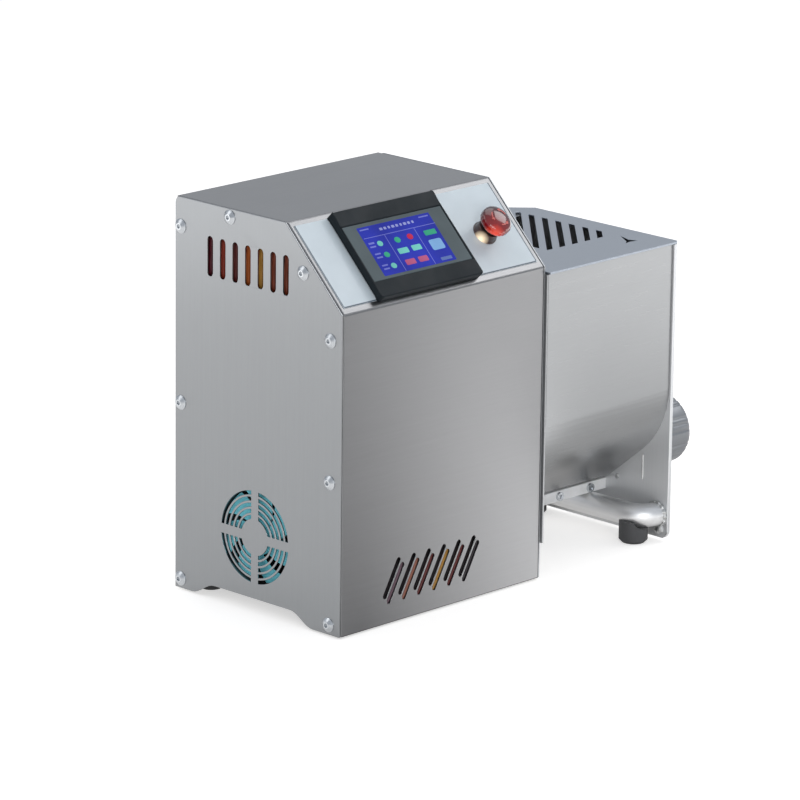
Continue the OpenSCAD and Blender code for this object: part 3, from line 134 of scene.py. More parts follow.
class Part:
    """A mesh in the making, in millimetres until it is put in its place."""

    def __init__(self) -> None:
        """Start with no faces."""
        self.mesh = bmesh.new()

    def take(self, other: bmesh.types.BMesh, place: Matrix) -> None:
        """Add another mesh at a place."""
        other.transform(place)
        held = bpy.data.meshes.new("held")
        other.to_mesh(held)
        other.free()
        self.mesh.from_mesh(held)
        bpy.data.meshes.remove(held)

    def plate(self, outline: Outline, low: float, high: float, place: Matrix,
              round_off: float = 0.0) -> "Part":
        """Add a flat plate of an outline, with its upper edge rounded.

        Args:
            outline: Points of the outline, anticlockwise.
            low: Height of the underside.
            high: Height of the top.
            place: Where the outline's own frame lies.
            round_off: Radius of the rounded upper edge.

        Returns:
            The part.
        """
        work = bmesh.new()
        ring = [work.verts.new((u, v, low)) for u, v in outline]
        base = work.faces.new(ring)
        lifted = bmesh.ops.extrude_face_region(work, geom=[base])["geom"]
        top = [item for item in lifted if isinstance(item, bmesh.types.BMVert)]
        bmesh.ops.translate(work, verts=top, vec=(0, 0, high - low))
        if round_off:
            edges = [e for e in work.edges if all(abs(v.co.z - high) < TINY for v in e.verts)]
            bmesh.ops.bevel(work, geom=edges, offset=round_off, segments=3, profile=0.5,
                            affect="EDGES", clamp_overlap=True)
        bmesh.ops.recalc_face_normals(work, faces=work.faces)
        self.take(work, place)
        return self

    def lathe(self, profile: Outline, place: Matrix, steps: int = 64,
              wave: Callable[[float, float, float], float] | None = None) -> "Part":
        """Turn a closed profile about the third axis of a place.

        Args:
            profile: Points as (radius, height); a radius of 0 closes the end.
            place: Where the profile's axis lies.
            steps: Facets round the axis.
            wave: Gives a new radius from radius, height and angle in degrees.

        Returns:
            The part.
        """
        work = bmesh.new()
        rings: list[list[bmesh.types.BMVert]] = []
        for radius, height in profile:
            ring = []
            for i in range(steps if radius else 1):
                angle = 360.0 * i / steps
                r = wave(radius, height, angle) if wave and radius else radius
                ring.append(work.verts.new((r * math.cos(math.radians(angle)),
                                            r * math.sin(math.radians(angle)), height)))
            rings.append(ring)
        pairs = list(zip(rings, rings[1:]))
        if len(rings[0]) > 1 and len(rings[-1]) > 1:
            pairs.append((rings[-1], rings[0]))
        for lower, upper in pairs:
            for i in range(steps):
                j = (i + 1) % steps
                corners = dict.fromkeys((lower[i % len(lower)], lower[j % len(lower)],
                                         upper[j % len(upper)], upper[i % len(upper)]))
                if len(corners) > 2:
                    work.faces.new(list(corners))
        bmesh.ops.recalc_face_normals(work, faces=work.faces)
        self.take(work, place)
        return self

    def tube(self, path: Sequence[Vector], radius: float, sides: int = 12,
             lump: Callable[[float], float] | None = None) -> "Part":
        """Sweep a round section along a path, with flat ends.

        Args:
            path: Points of the machine that the middle of the section follows.
            radius: Radius of the section.
            sides: Facets round the section.
            lump: Gives a factor on the radius from the share of the path run.

        Returns:
            The part.
        """
        work = bmesh.new()
        side = Vector((0, 0, 1))
        rings = []
        last = len(path) - 1
        for i, point in enumerate(path):
            ahead = (path[min(i + 1, last)] - path[max(i - 1, 0)]).normalized()
            if abs(ahead.dot(side)) > 0.95:
                side = Vector((0, 1, 0)) if abs(ahead.y) < 0.9 else Vector((1, 0, 0))
            side = (side - ahead * side.dot(ahead)).normalized()
            other = ahead.cross(side)
            r = radius * (lump(i / last) if lump else 1.0)
            rings.append([work.verts.new(point + r * (math.cos(math.tau * k / sides) * side
                                                      + math.sin(math.tau * k / sides) * other))
                          for k in range(sides)])
        for lower, upper in zip(rings, rings[1:]):
            for k in range(sides):
                j = (k + 1) % sides
                work.faces.new((lower[k], lower[j], upper[j], upper[k]))
        work.faces.new(list(reversed(rings[0])))
        work.faces.new(rings[-1])
        bmesh.ops.recalc_face_normals(work, faces=work.faces)
        self.take(work, MACHINE)
        return self

    def solid_of(self, node: str) -> "Part":
        """Add a clean copy of a CAD node's solid, in metres."""
        self.mesh.from_mesh(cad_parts[node].data)
        bmesh.ops.remove_doubles(self.mesh, verts=self.mesh.verts, dist=2 * TINY)
        bmesh.ops.dissolve_degenerate(self.mesh, edges=self.mesh.edges, dist=TINY)
        bmesh.ops.dissolve_limit(self.mesh, angle_limit=math.radians(0.6), verts=self.mesh.verts,
                                 edges=self.mesh.edges, delimit={"NORMAL"})
        bmesh.ops.triangulate(self.mesh, faces=self.mesh.faces, ngon_method="BEAUTY")
        return self


def curve_points(points: Sequence[Point], steps: int = 8) -> list[Vector]:
    """Run a smooth curve through points.

    Args:
        points: The points to pass through.
        steps: Steps between two of them.

    Returns:
        Points along the curve.
    """
    knots = [Vector(p) for p in points]
    knots = [2 * knots[0] - knots[1]] + knots + [2 * knots[-1] - knots[-2]]
    path = []
    for a, b, c, d in zip(knots, knots[1:], knots[2:], knots[3:]):
        for i in range(steps):
            t = i / steps
            path.append(0.5 * (2 * b + (c - a) * t + (2 * a - 5 * b + 4 * c - d) * t * t
                               + (3 * b - a - 3 * c + d) * t ** 3))
    path.append(knots[-2])
    return path


# Shader nodes ------------------------------------------------------------------


class Graph:
    """Builds the nodes of one shader tree."""

    def __init__(self, tree: bpy.types.NodeTree) -> None:
        """Keep the tree to build in."""
        self.tree = tree

    def feed(self, socket: Socket, value: Value) -> None:
        """Link another socket to an input, or set it to a plain value."""
        if isinstance(value, Socket):
            self.tree.links.new(value, socket)
        else:
            socket.default_value = value

    def add(self, kind: str, inputs: dict[str | int, Value] | None = None,
            **settings: object) -> bpy.types.Node:
        """Add a node.

        Args:
            kind: The node's Blender type, after ShaderNode.
            inputs: Values or sockets for its inputs, by name or number.
            settings: Attributes of the node.

        Returns:
            The node.
        """
        node = self.tree.nodes.new(f"ShaderNode{kind}")
        for name, value in settings.items():
            setattr(node, name, value)
        for key, value in (inputs or {}).items():
            self.feed(node.inputs[key], value)
        return node

    def link(self, node: bpy.types.Node, **sockets: Value) -> None:
        """Link or set a node's inputs, with _ for a blank in their names."""
        for name, value in sockets.items():
            self.feed(node.inputs[name.replace("_", " ")], value)

    def sum(self, operation: str, a: Value, b: Value = 0.0) -> Socket:
        """Work out one sum of two values."""
        return self.add("Math", {0: a, 1: b}, operation=operation).outputs[0]

    def times(self, a: Value, b: Value) -> Socket:
        """Multiply two values."""
        return self.sum("MULTIPLY", a, b)

    def plus(self, a: Value, b: Value) -> Socket:
        """Add two values."""
        return self.sum("ADD", a, b)

    def minus(self, a: Value, b: Value) -> Socket:
        """Take the second value from the first."""
        return self.sum("SUBTRACT", a, b)

    def spread(self, value: Value, low: float, high: float, to_low: float = 0.0,
               to_high: float = 1.0) -> Socket:
        """Map a value from one range to another, held inside the new one."""
        return self.add("MapRange", {0: value, 1: low, 2: high, 3: to_low, 4: to_high}).outputs[0]

    def blend(self, share: Value, a: Value, b: Value, how: str = "MIX") -> Socket:
        """Blend two colours."""
        return self.add("Mix", {0: share, 6: a, 7: b}, data_type="RGBA", blend_type=how).outputs[2]

    def noise(self, vector: Socket, scale: Value, detail: float = 3.0, roughness: float = 0.55,
              distortion: float = 0.0) -> Socket:
        """Add a noise texture over a vector."""
        return self.add("TexNoise", {"Vector": vector, "Scale": scale, "Detail": detail,
                                     "Roughness": roughness, "Distortion": distortion}).outputs[0]

    def where(self) -> Socket:
        """Give the place on the piece, in metres of the machine's frame."""
        return self.add("TexCoord").outputs["Object"]

    def axes(self, vector: Socket) -> Sockets:
        """Part a vector into its three values."""
        return self.add("SeparateXYZ", {0: vector}).outputs

    def measure(self, operation: str, a: Value, b: Value = (0.0, 0.0, 0.0)) -> Socket:
        """Work out one number from one or two vectors."""
        return self.add("VectorMath", {0: a, 1: b}, operation=operation).outputs["Value"]

    def bump(self, height: Socket, strength: float, distance: float) -> Socket:
        """Turn a height into a normal; the distance is in millimetres."""
        return self.add("Bump", {"Height": height, "Strength": strength,
                                 "Distance": distance * MM}).outputs["Normal"]


class Effect:
    """A shader node group that several finishes share, built once."""

    name: ClassVar[str] = ""
    takes: ClassVar[dict[str, float | Point]] = {}
    gives: ClassVar[Sequence[str]] = ()
    _built: ClassVar[dict[str, bpy.types.NodeTree]] = {}

    @classmethod
    def tree(cls) -> bpy.types.NodeTree:
        """Give the group's node tree, building it the first time."""
        if cls.name not in Effect._built:
            made = bpy.data.node_groups.new(cls.name, "ShaderNodeTree")
            for label, default in cls.takes.items():
                kind = "NodeSocketVector" if isinstance(default, tuple) else "NodeSocketFloat"
                socket = made.interface.new_socket(name=label, in_out="INPUT", socket_type=kind)
                socket.default_value = default
            for label in cls.gives:
                made.interface.new_socket(name=label, in_out="OUTPUT", socket_type="NodeSocketFloat")
            source, sink = (made.nodes.new(f"NodeGroup{end}") for end in ("Input", "Output"))
            for label, socket in cls.wire(Graph(made), source.outputs).items():
                made.links.new(socket, sink.inputs[label])
            Effect._built[cls.name] = made
        return Effect._built[cls.name]

    @classmethod
    def wire(cls, graph: Graph, given: Sockets) -> dict[str, Socket]:
        """Build the inside of the group.

        Args:
            graph: The group's graph.
            given: The group's inputs, by name.

        Returns:
            The socket for each output, by name.
        """
        raise NotImplementedError

    @classmethod
    def use(cls, graph: Graph, **values: Value) -> Sockets:
        """Place the group in a material.

        Args:
            graph: The material's graph.
            values: Values for its inputs, with _ for a blank in their names.

        Returns:
            The group's outputs.
        """
        node = graph.add("Group", node_tree=cls.tree())
        graph.link(node, **values)
        return node.outputs


class BrushedGrain(Effect):
    """Long fine scratches in one direction."""

    name = "brushed grain"
    takes = {"Stretch": (15.0, 900.0, 900.0)}
    gives = ("Streak",)

    @classmethod
    def wire(cls, graph: Graph, given: Sockets) -> dict[str, Socket]:
        """Stretch two noises along the grain and add them."""
        place = graph.add("VectorMath", {0: graph.where(), 1: given["Stretch"]},
                          operation="MULTIPLY").outputs[0]
        fine, broad = graph.noise(place, 3.1, 4.0, 0.6), graph.noise(place, 0.35, 2.0, 0.5)
        streak = graph.plus(graph.times(fine, 0.65), graph.times(broad, 0.35))
        return {"Streak": graph.spread(streak, 0.32, 0.68)}


class HandlingWear(Effect):
    """Where edges are rubbed, surfaces are smudged and dust has settled."""

    name = "handling wear"
    takes = {"Smudge Scale": 14.0}
    gives = ("Edge Wear", "Smudge", "Dust")
    edge_r: ClassVar[float] = 0.9

    @classmethod
    def wire(cls, graph: Graph, given: Sockets) -> dict[str, Socket]:
        """Find edges by a rounded normal, smudges by noise and dust by facing up."""
        normal = graph.add("NewGeometry").outputs["Normal"]
        place = graph.where()
        rounded = graph.add("Bevel", {"Radius": cls.edge_r * MM}, samples=4).outputs[0]
        edge = graph.spread(graph.minus(1.0, graph.measure("DOT_PRODUCT", rounded, normal)), 0.02, 0.2)
        rub = graph.times(edge, graph.spread(graph.noise(place, 160.0, 4.0, 0.7), 0.3, 0.6))
        smudge = graph.spread(graph.noise(place, given["Smudge Scale"], 5.0, 0.62, 0.6), 0.38, 0.7)
        settled = graph.spread(graph.axes(normal)[2], 0.55, 1.0)
        dust = graph.times(settled, graph.noise(place, 420.0, 2.0, 0.8))
        return {"Edge Wear": rub, "Smudge": smudge, "Dust": dust}


class CastSkin(Effect):
    """The uneven skin of a casting, a moulding or a weld."""

    name = "cast skin"
    takes = {"Scale": 600.0, "Pits": 0.3}
    gives = ("Height", "Mottle")

    @classmethod
    def wire(cls, graph: Graph, given: Sockets) -> dict[str, Socket]:
        """Add small pits to a soft noise."""
        place = graph.where()
        skin = graph.noise(place, given["Scale"], 3.0, 0.6)
        cells = graph.add("TexVoronoi", {"Vector": place, "Scale": given["Scale"]}).outputs["Distance"]
        pits = graph.times(graph.spread(cells, 0.0, 0.35), given["Pits"])
        return {"Height": graph.plus(skin, pits), "Mottle": graph.noise(place, 38.0, 4.0, 0.6)}


class TurnedRings(Effect):
    """The fine rings that a lathe leaves about an axis along X."""

    name = "turned rings"
    gives = ("Ring",)
    pitch: ClassVar[float] = 2600.0

    @classmethod
    def wire(cls, graph: Graph, given: Sockets) -> dict[str, Socket]:
        """Read one noise along the axis only."""
        line = graph.add("CombineXYZ", {0: graph.axes(graph.where())[0]}).outputs[0]
        return {"Ring": graph.spread(graph.noise(line, cls.pitch, 2.0, 0.7), 0.35, 0.65)}


# Finishes ----------------------------------------------------------------------


def new_material(name: str) -> tuple[bpy.types.Material, Graph, bpy.types.Node]:
    """Make a material and give it with its graph and its Principled shader."""
    material = bpy.data.materials.new(name)
    material.use_nodes = True
    shader = next(node for node in material.node_tree.nodes if node.type == "BSDF_PRINCIPLED")
    return material, Graph(material.node_tree), shader


@dataclass(frozen=True)
class Finish:
    """One finish of the machine, made into a material once."""

    name: str
    colour: Colour
    roughness: float = 0.4
    _made: ClassVar[dict[str, bpy.types.Material]] = {}

    def material(self) -> bpy.types.Material:
        """Give the finish's material, building it the first time."""
        if self.name not in Finish._made:
            Finish._made[self.name], graph, shader = new_material(self.name)
            self.wire(graph, shader)
        return Finish._made[self.name]

    def wire(self, graph: Graph, shader: bpy.types.Node) -> None:
        """Feed the shader.

        Args:
            graph: The material's graph.
            shader: Its Principled shader.
        """
        raise NotImplementedError

    def shade(self, factor: float) -> Colour:
        """Give the finish's colour made lighter or darker."""
        red, green, blue = (min(part * factor, 1.0) for part in self.colour[:3])
        return red, green, blue, 1.0

    def mottled(self, graph: Graph, skin: Sockets, dark: float, light: float) -> Socket:
        """Vary the colour between two shades by a skin's mottle."""
        return graph.blend(graph.spread(skin["Mottle"], 0.3, 0.7), self.shade(dark), self.shade(light))

    def dulled(self, graph: Graph, wear: Sockets, most: float) -> Socket:
        """Give the roughness, raised where the surface is smudged."""
        return graph.plus(graph.times(wear["Smudge"], most), self.roughness)


@dataclass(frozen=True)
class BrushedSheet(Finish):
    """Stainless sheet with a brushed grain."""

    grain: Axis = Axis.X
    contrast: float = 0.04
    depth: float = 0.02
    smudge: float = 0.02
    spread: float = 0.7
    along: ClassVar[float] = 16.0
    across: ClassVar[float] = 1000.0

    def wire(self, graph: Graph, shader: bpy.types.Node) -> None:
        """Streak the colour, the gloss and the surface along the grain."""
        stretch = tuple(self.along if part else self.across for part in self.grain.value)
        streak = BrushedGrain.use(graph, Stretch=stretch)["Streak"]
        wear = HandlingWear.use(graph, Smudge_Scale=5.0)
        base = graph.blend(streak, self.shade(1 - self.contrast), self.shade(1 + self.contrast))
        smudged = graph.blend(graph.times(wear["Smudge"], 0.1), base, self.shade(0.9))
        rubbed = graph.blend(graph.times(wear["Edge Wear"], 0.8), smudged, self.shade(1.5))
        dull = graph.plus(graph.times(streak, 0.07), graph.times(wear["Smudge"], self.smudge))
        rough = graph.plus(dull, self.roughness - 0.06)
        tangent = graph.add("Tangent", direction_type="RADIAL", axis=self.grain.name).outputs[0]
        graph.link(shader, Base_Color=rubbed, Metallic=1.0, Anisotropic=self.spread, Tangent=tangent,
                   Roughness=graph.minus(rough, graph.times(wear["Edge Wear"], 0.12)),
                   Normal=graph.bump(streak, 0.25, self.depth))


@dataclass(frozen=True)
class MachinedMetal(Finish):
    """Turned or milled metal with fine tool rings."""

    metallic: float = 1.0
    ring: float = 0.12
    depth: float = 0.02

    def wire(self, graph: Graph, shader: bpy.types.Node) -> None:
        """Ring the colour and the surface, and brighten rubbed edges."""
        ring = TurnedRings.use(graph)["Ring"]
        wear = HandlingWear.use(graph, Smudge_Scale=40.0)
        base = graph.blend(ring, self.shade(1 - self.ring), self.shade(1 + self.ring))
        graph.link(shader, Base_Color=graph.blend(wear["Edge Wear"], base, self.shade(1.35)),
                   Metallic=self.metallic, Roughness=self.dulled(graph, wear, 0.14),
                   Normal=graph.bump(ring, 0.3, self.depth))


@dataclass(frozen=True)
class CastMetal(Finish):
    """A casting, bare or painted, with an uneven skin."""

    metallic: float = 0.6
    skin_scale: float = 650.0
    depth: float = 0.25
    edge: Colour = (0.6, 0.6, 0.6, 1.0)

    def wire(self, graph: Graph, shader: bpy.types.Node) -> None:
        """Mottle the colour and wear the skin off the edges."""
        skin = CastSkin.use(graph, Scale=self.skin_scale)
        wear = HandlingWear.use(graph, Smudge_Scale=30.0)
        base = self.mottled(graph, skin, 0.82, 1.15)
        graph.link(shader, Metallic=self.metallic,
                   Base_Color=graph.blend(graph.times(wear["Edge Wear"], 0.7), base, self.edge),
                   Roughness=graph.plus(graph.times(skin["Mottle"], 0.2), self.roughness - 0.1),
                   Normal=graph.bump(skin["Height"], 0.4, self.depth))


@dataclass(frozen=True)
class MouldedPlastic(Finish):
    """Moulded plastic or rubber with a fine sparked skin."""

    skin_scale: float = 1800.0
    depth: float = 0.06
    dust: float = 0.12
    shine: float = 0.5

    def wire(self, graph: Graph, shader: bpy.types.Node) -> None:
        """Vary the colour a little, dust it, and pale its edges."""
        skin = CastSkin.use(graph, Scale=self.skin_scale, Pits=0.2)
        wear = HandlingWear.use(graph, Smudge_Scale=24.0)
        base = self.mottled(graph, skin, 0.88, 1.12)
        pale = graph.blend(graph.times(wear["Edge Wear"], 0.35), base, self.shade(1.9))
        dusty = graph.blend(graph.times(wear["Dust"], self.dust), pale, tone(150, 148, 144))
        graph.link(shader, Base_Color=dusty, Roughness=self.dulled(graph, wear, 0.12),
                   Specular_IOR_Level=self.shine, Normal=graph.bump(skin["Height"], 0.3, self.depth))


@dataclass(frozen=True)
class PaintedGlowPlastic(Finish):
    """Red plastic with a painted glow and painted highlight round a spot, and painted shade away from it."""

    painted_shade: Colour = tone(40, 6, 8)
    lit: Colour = tone(255, 120, 70)
    painted_glow_spot: Point = (0.0, 0.0, 0.0)
    reach: float = 12.0
    glow: float = 0.5
    coat: float = 1.0

    def wire(self, graph: Graph, shader: bpy.types.Node) -> None:
        """Blend from the painted glow colour to the painted shade colour by distance from the painted glow
        spot.
        """
        reach = self.reach * MM
        far = graph.measure("DISTANCE", graph.where(), tuple(SLOPE @ Vector(self.painted_glow_spot)))
        skin = CastSkin.use(graph, Scale=420.0, Pits=0.3)
        away = graph.plus(far, graph.times(graph.minus(skin["Mottle"], 0.5), 0.5 * reach))
        near = graph.spread(away, 0.15 * reach, reach, 1.0, 0.0)
        body = graph.blend(graph.spread(away, 0.9 * reach, 2.6 * reach), self.colour, self.painted_shade)
        wear = HandlingWear.use(graph, Smudge_Scale=60.0)
        graph.link(shader, Base_Color=graph.blend(near, body, self.lit),
                   Roughness=self.dulled(graph, wear, 0.08), Coat_Weight=self.coat,
                   Emission_Color=graph.blend(near, NO_LIGHT, self.lit), Emission_Strength=self.glow,
                   Normal=graph.bump(skin["Height"], 0.1, 0.02))


@dataclass(frozen=True)
class LabelFilm(Finish):
    """A pale printed film with a thin dark line inside its edge, which is painted shade of the edge."""

    # Colour and place of the painted shade line along the label's edge.
    line: Colour = tone(70, 84, 98)
    left: float = 7.2
    right: float = 252.8
    low: float = 7.2
    high: float = 95.6
    edge_shade_w: float = 0.9
    corner: float = 1.5

    def beyond(self, graph: Graph, value: Socket, low: float, high: float) -> Socket:
        """Give how far a value lies past the straight run between two corners."""
        away = graph.sum("ABSOLUTE", graph.minus(value, (low + high) / 2))
        return graph.minus(away, (high - low) / 2 - self.corner)

    def wire(self, graph: Graph, shader: bpy.types.Node) -> None:
        """Draw the painted edge shade line from the place on the slope and grain the film."""
        x, y, z = (graph.times(axis, 1 / MM) for axis in graph.axes(graph.where()))
        run = graph.plus(graph.plus(y, MIDDLE.y), graph.minus(z, SLOPE_FOOT))
        across = self.beyond(graph, x, self.left - MIDDLE.x, self.right - MIDDLE.x)
        up = self.beyond(graph, graph.times(run, math.sqrt(0.5)), self.low, self.high)
        flat = graph.add("CombineXYZ", {0: graph.sum("MAXIMUM", across),
                                        1: graph.sum("MAXIMUM", up)}).outputs[0]
        inside = graph.sum("MINIMUM", graph.sum("MAXIMUM", across, up))
        edge = graph.minus(graph.plus(graph.measure("LENGTH", flat), inside), self.corner)
        line = graph.spread(graph.sum("ABSOLUTE", edge), self.edge_shade_w / 2, self.edge_shade_w / 2 + 0.25, 1.0, 0.0)
        skin = CastSkin.use(graph, Scale=2600.0, Pits=0.15)
        wear = HandlingWear.use(graph, Smudge_Scale=18.0)
        base = self.mottled(graph, skin, 0.97, 1.03)
        smudged = graph.blend(graph.times(wear["Smudge"], 0.12), base, self.shade(0.85))
        graph.link(shader, Base_Color=graph.blend(line, smudged, self.line),
                   Roughness=self.dulled(graph, wear, 0.1), Normal=graph.bump(skin["Height"], 0.15, 0.03))


@dataclass(frozen=True)
class LitPanel(Finish):
    """A part of the lit display, with its rows of pixels."""

    glow: float = 0.75
    fade: float = 0.12
    pixel: float = 0.25

    def wire(self, graph: Graph, shader: bpy.types.Node) -> None:
        """Darken the gaps between pixel rows and shade the field softly."""
        place = graph.where()
        rows = graph.add("TexWave", {"Vector": place, "Scale": 1 / MM / self.pixel / math.tau},
                         wave_type="BANDS", bands_direction="X").outputs["Fac"]
        soft = graph.spread(graph.noise(place, 26.0, 2.0, 0.5), 0.3, 0.7, -self.fade, self.fade)
        shade = graph.plus(graph.spread(rows, 0.0, 1.0, 0.9, 1.0), soft)
        grey = graph.add("CombineColor", {0: shade, 1: shade, 2: shade}).outputs[0]
        lit = graph.blend(1.0, self.colour, grey, "MULTIPLY")
        graph.link(shader, Base_Color=graph.blend(0.82, lit, NO_LIGHT), Roughness=self.roughness,
                   Emission_Color=lit, Emission_Strength=self.glow, Specular_IOR_Level=0.04)


@dataclass(frozen=True)
class Winding(Finish):
    """Enamelled copper wire laid side by side, between core plates."""

    wire_pitch: float = 0.9

    def wire(self, graph: Graph, shader: bpy.types.Node) -> None:
        """Lay wires along the axis as bands about it."""
        place = graph.where()
        bands = graph.add("TexWave", {
            "Vector": place, "Scale": 1 / MM / self.wire_pitch / math.tau, "Distortion": 1.2,
            "Detail": 2.0, "Detail Scale": 1.5}, wave_type="BANDS", bands_direction="Y").outputs["Fac"]
        varnish = graph.spread(graph.noise(place, 90.0, 4.0, 0.6), 0.3, 0.7)
        base = graph.blend(bands, self.shade(0.45), self.shade(1.2))
        graph.link(shader, Base_Color=graph.blend(graph.times(varnish, 0.3), base, self.shade(0.6)),
                   Metallic=0.85, Roughness=graph.spread(varnish, 0.0, 1.0, 0.3, 0.5),
                   Normal=graph.bump(bands, 0.6, 0.3))


@dataclass(frozen=True)
class CircuitBoard(Finish):
    """Green lacquered board with tracks; its tall blocks are grey and black."""

    track: Colour = tone(86, 150, 84)
    face_y: ClassVar[float] = 0.0895

    def wire(self, graph: Graph, shader: bpy.types.Node) -> None:
        """Draw tracks by cells on the board and darken what stands off it."""
        place = graph.where()
        cells = graph.add("TexVoronoi", {"Vector": place, "Scale": 260.0},
                          distance="CHEBYCHEV").outputs["Distance"]
        tall = graph.spread(graph.axes(place)[1], self.face_y, self.face_y + MM, 1.0, 0.0)
        board = graph.blend(graph.spread(cells, 0.32, 0.36), self.colour, self.track)
        blocks = graph.blend(graph.spread(graph.noise(place, 12.0, 1.0), 0.48, 0.52), tone(38, 38, 42),
                             tone(120, 122, 126))
        graph.link(shader, Base_Color=graph.blend(tall, board, blocks),
                   Roughness=graph.spread(graph.noise(place, 200.0), 0.3, 0.7, 0.3, 0.5),
                   Normal=graph.bump(cells, 0.2, 0.1))


COVER_STEEL = BrushedSheet("cover steel", tone(143, 143, 144), 0.34, Axis.X)
PANEL_STEEL = BrushedSheet("side panel steel", tone(156, 158, 160), 0.34, Axis.Z)
REAR_STEEL = BrushedSheet("rear panel steel", tone(158, 160, 162), 0.36, Axis.X)
TROUGH_STEEL = BrushedSheet("trough steel", tone(157, 158, 159), 0.32, Axis.X)
# A far lighter copy of the trough's stainless: painted light for the shaded end plate.
END_PAINTED_LIGHT = BrushedSheet("end plate steel painted light", tone(226, 227, 228), 0.52, Axis.Z, spread=0.2)
LID_STEEL = BrushedSheet("lid steel", tone(166, 172, 180), 0.36, Axis.X)
BASE_STEEL = BrushedSheet("base steel", tone(150, 152, 154), 0.45, Axis.X)
# Much darker than the steel it is: painted shade for the inside of the housing.
SHADED_INNER_STEEL = CastMetal("inner steel painted dark", tone(58, 58, 60), 0.75, metallic=0.2, skin_scale=400.0,
                        depth=0.04, edge=tone(110, 110, 112))
# Near-white and not metal, far lighter than the stainless bar: painted light.
BAR_PAINTED_LIGHT = CastMetal("bar steel painted light", tone(250, 250, 248), 0.42, metallic=0.0, skin_scale=900.0,
                      depth=0.05, edge=tone(253, 253, 253))
# A far lighter copy of the stainless: painted light for the tube in the shade under the trough.
TUBE_PAINTED_LIGHT = BrushedSheet("tube steel painted light", tone(244, 244, 244), 0.46, Axis.Y, contrast=0.06, spread=0.2)
SCREW_STEEL = MachinedMetal("screw steel", tone(200, 203, 206), 0.22)
STUD_STEEL = MachinedMetal("blacked stud steel", tone(52, 52, 54), 0.45)
FOOD_STEEL = MachinedMetal("food steel", tone(196, 197, 196), 0.24)
GEAR_STEEL = MachinedMetal("gear steel", tone(150, 152, 156), 0.3)
NUT_ALLOY = MachinedMetal("nut alloy", tone(150, 152, 155), 0.42, metallic=0.9, ring=0.08)
BRASS = MachinedMetal("insert brass", tone(190, 158, 88), 0.3)
BRONZE = MachinedMetal("die bronze", tone(186, 144, 84), 0.32)
GEARBOX = CastMetal("cast gearbox", tone(136, 140, 144), 0.55)
MOTOR_PAINT = CastMetal("motor paint", tone(74, 82, 90), 0.5, metallic=0.1)
WELD = CastMetal("weld bead", tone(205, 206, 205), 0.3, metallic=1.0, skin_scale=900.0, depth=0.35)
RUBBER = MouldedPlastic("foot rubber", tone(80, 80, 81), 0.62, skin_scale=1100.0, depth=0.12)
BEZEL = MouldedPlastic("bezel plastic", tone(18, 27, 32), 0.5, dust=0.02, shine=0.25)
BLACK = MouldedPlastic("black plastic", tone(30, 31, 33), 0.45)
BUSH = MouldedPlastic("bush plastic", tone(226, 222, 206), 0.4)
FAN_TEAL = MouldedPlastic("fan blade teal", tone(130, 232, 250), 0.5, skin_scale=900.0, depth=0.03)
# The head's glow and lighter colour near a spot on its lower left are painted highlight and glow; the dark
# colour away from it is painted shade.
STOP_RED = PaintedGlowPlastic("stop head red", tone(150, 10, 12), 0.14, painted_shade=tone(40, 5, 10),
                       lit=tone(236, 66, 36), painted_glow_spot=(204.5, 35.0, 17.0), reach=10.0, glow=0.4)
ROCKER_RED = MouldedPlastic("rocker red", tone(180, 22, 14), 0.3)
# The collar's cream glow on its lower-left side is painted highlight and glow; the dark colour elsewhere is
# painted shade.
COLLAR = PaintedGlowPlastic("collar lamp", tone(70, 42, 36), 0.3, painted_shade=tone(38, 34, 32),
                     lit=tone(255, 232, 196), painted_glow_spot=(203.2, 41.0, 2.0), reach=8.0, glow=0.7, coat=0.5)
ARROW_RED = MouldedPlastic("arrow red", tone(205, 84, 74), 0.3, skin_scale=900.0, depth=0.02)
RING_PAINT = MouldedPlastic("mark paint", tone(232, 232, 228), 0.4)
LABEL = LabelFilm("label film", tone(207, 217, 222), 0.34)
COPPER = Winding("stator copper", tone(190, 112, 66))
BOARD = CircuitBoard("board green", tone(30, 96, 56))

GLASS_FRAME = LitPanel("display frame", tone(138, 154, 160), 0.2, glow=0.2)
FIELD_BLUE = LitPanel("display blue", tone(42, 54, 178), 0.3, fade=0.2)


class Ink(Enum):
    """The colours that the display shows, of 255."""

    MINT = (118, 206, 196)
    GREEN = (62, 176, 138)
    RED = (198, 44, 82)
    ROSE = (186, 92, 132)
    SKY = (136, 184, 236)
    SLATE = (100, 122, 186)
    LAVENDER = (120, 128, 214)
    WHITE = (158, 166, 226)

    @property
    def finish(self) -> LitPanel:
        """Give the finish of a part of the display in this colour."""
        return LitPanel(f"display {self.name.lower()}", tone(*self.value), 0.3)


class Wire(Enum):
    """The colours of the loom's cables, of 255."""

    MAUVE = (120, 92, 104)
    CLAY = (176, 112, 92)
    PLUM = (104, 28, 42)
    MAROON = (110, 34, 30)
    BRICK = (176, 62, 40)
    ORANGE = (206, 104, 40)
    OCHRE = (206, 150, 60)
    RUST = (150, 66, 38)
    DARK = (44, 34, 40)

    @property
    def finish(self) -> MouldedPlastic:
        """Give the finish of a cable in this colour."""
        return MouldedPlastic(f"cable {self.name.lower()}", tone(*self.value), 0.45)


# Sub-assemblies ------------------------------------------------------------------


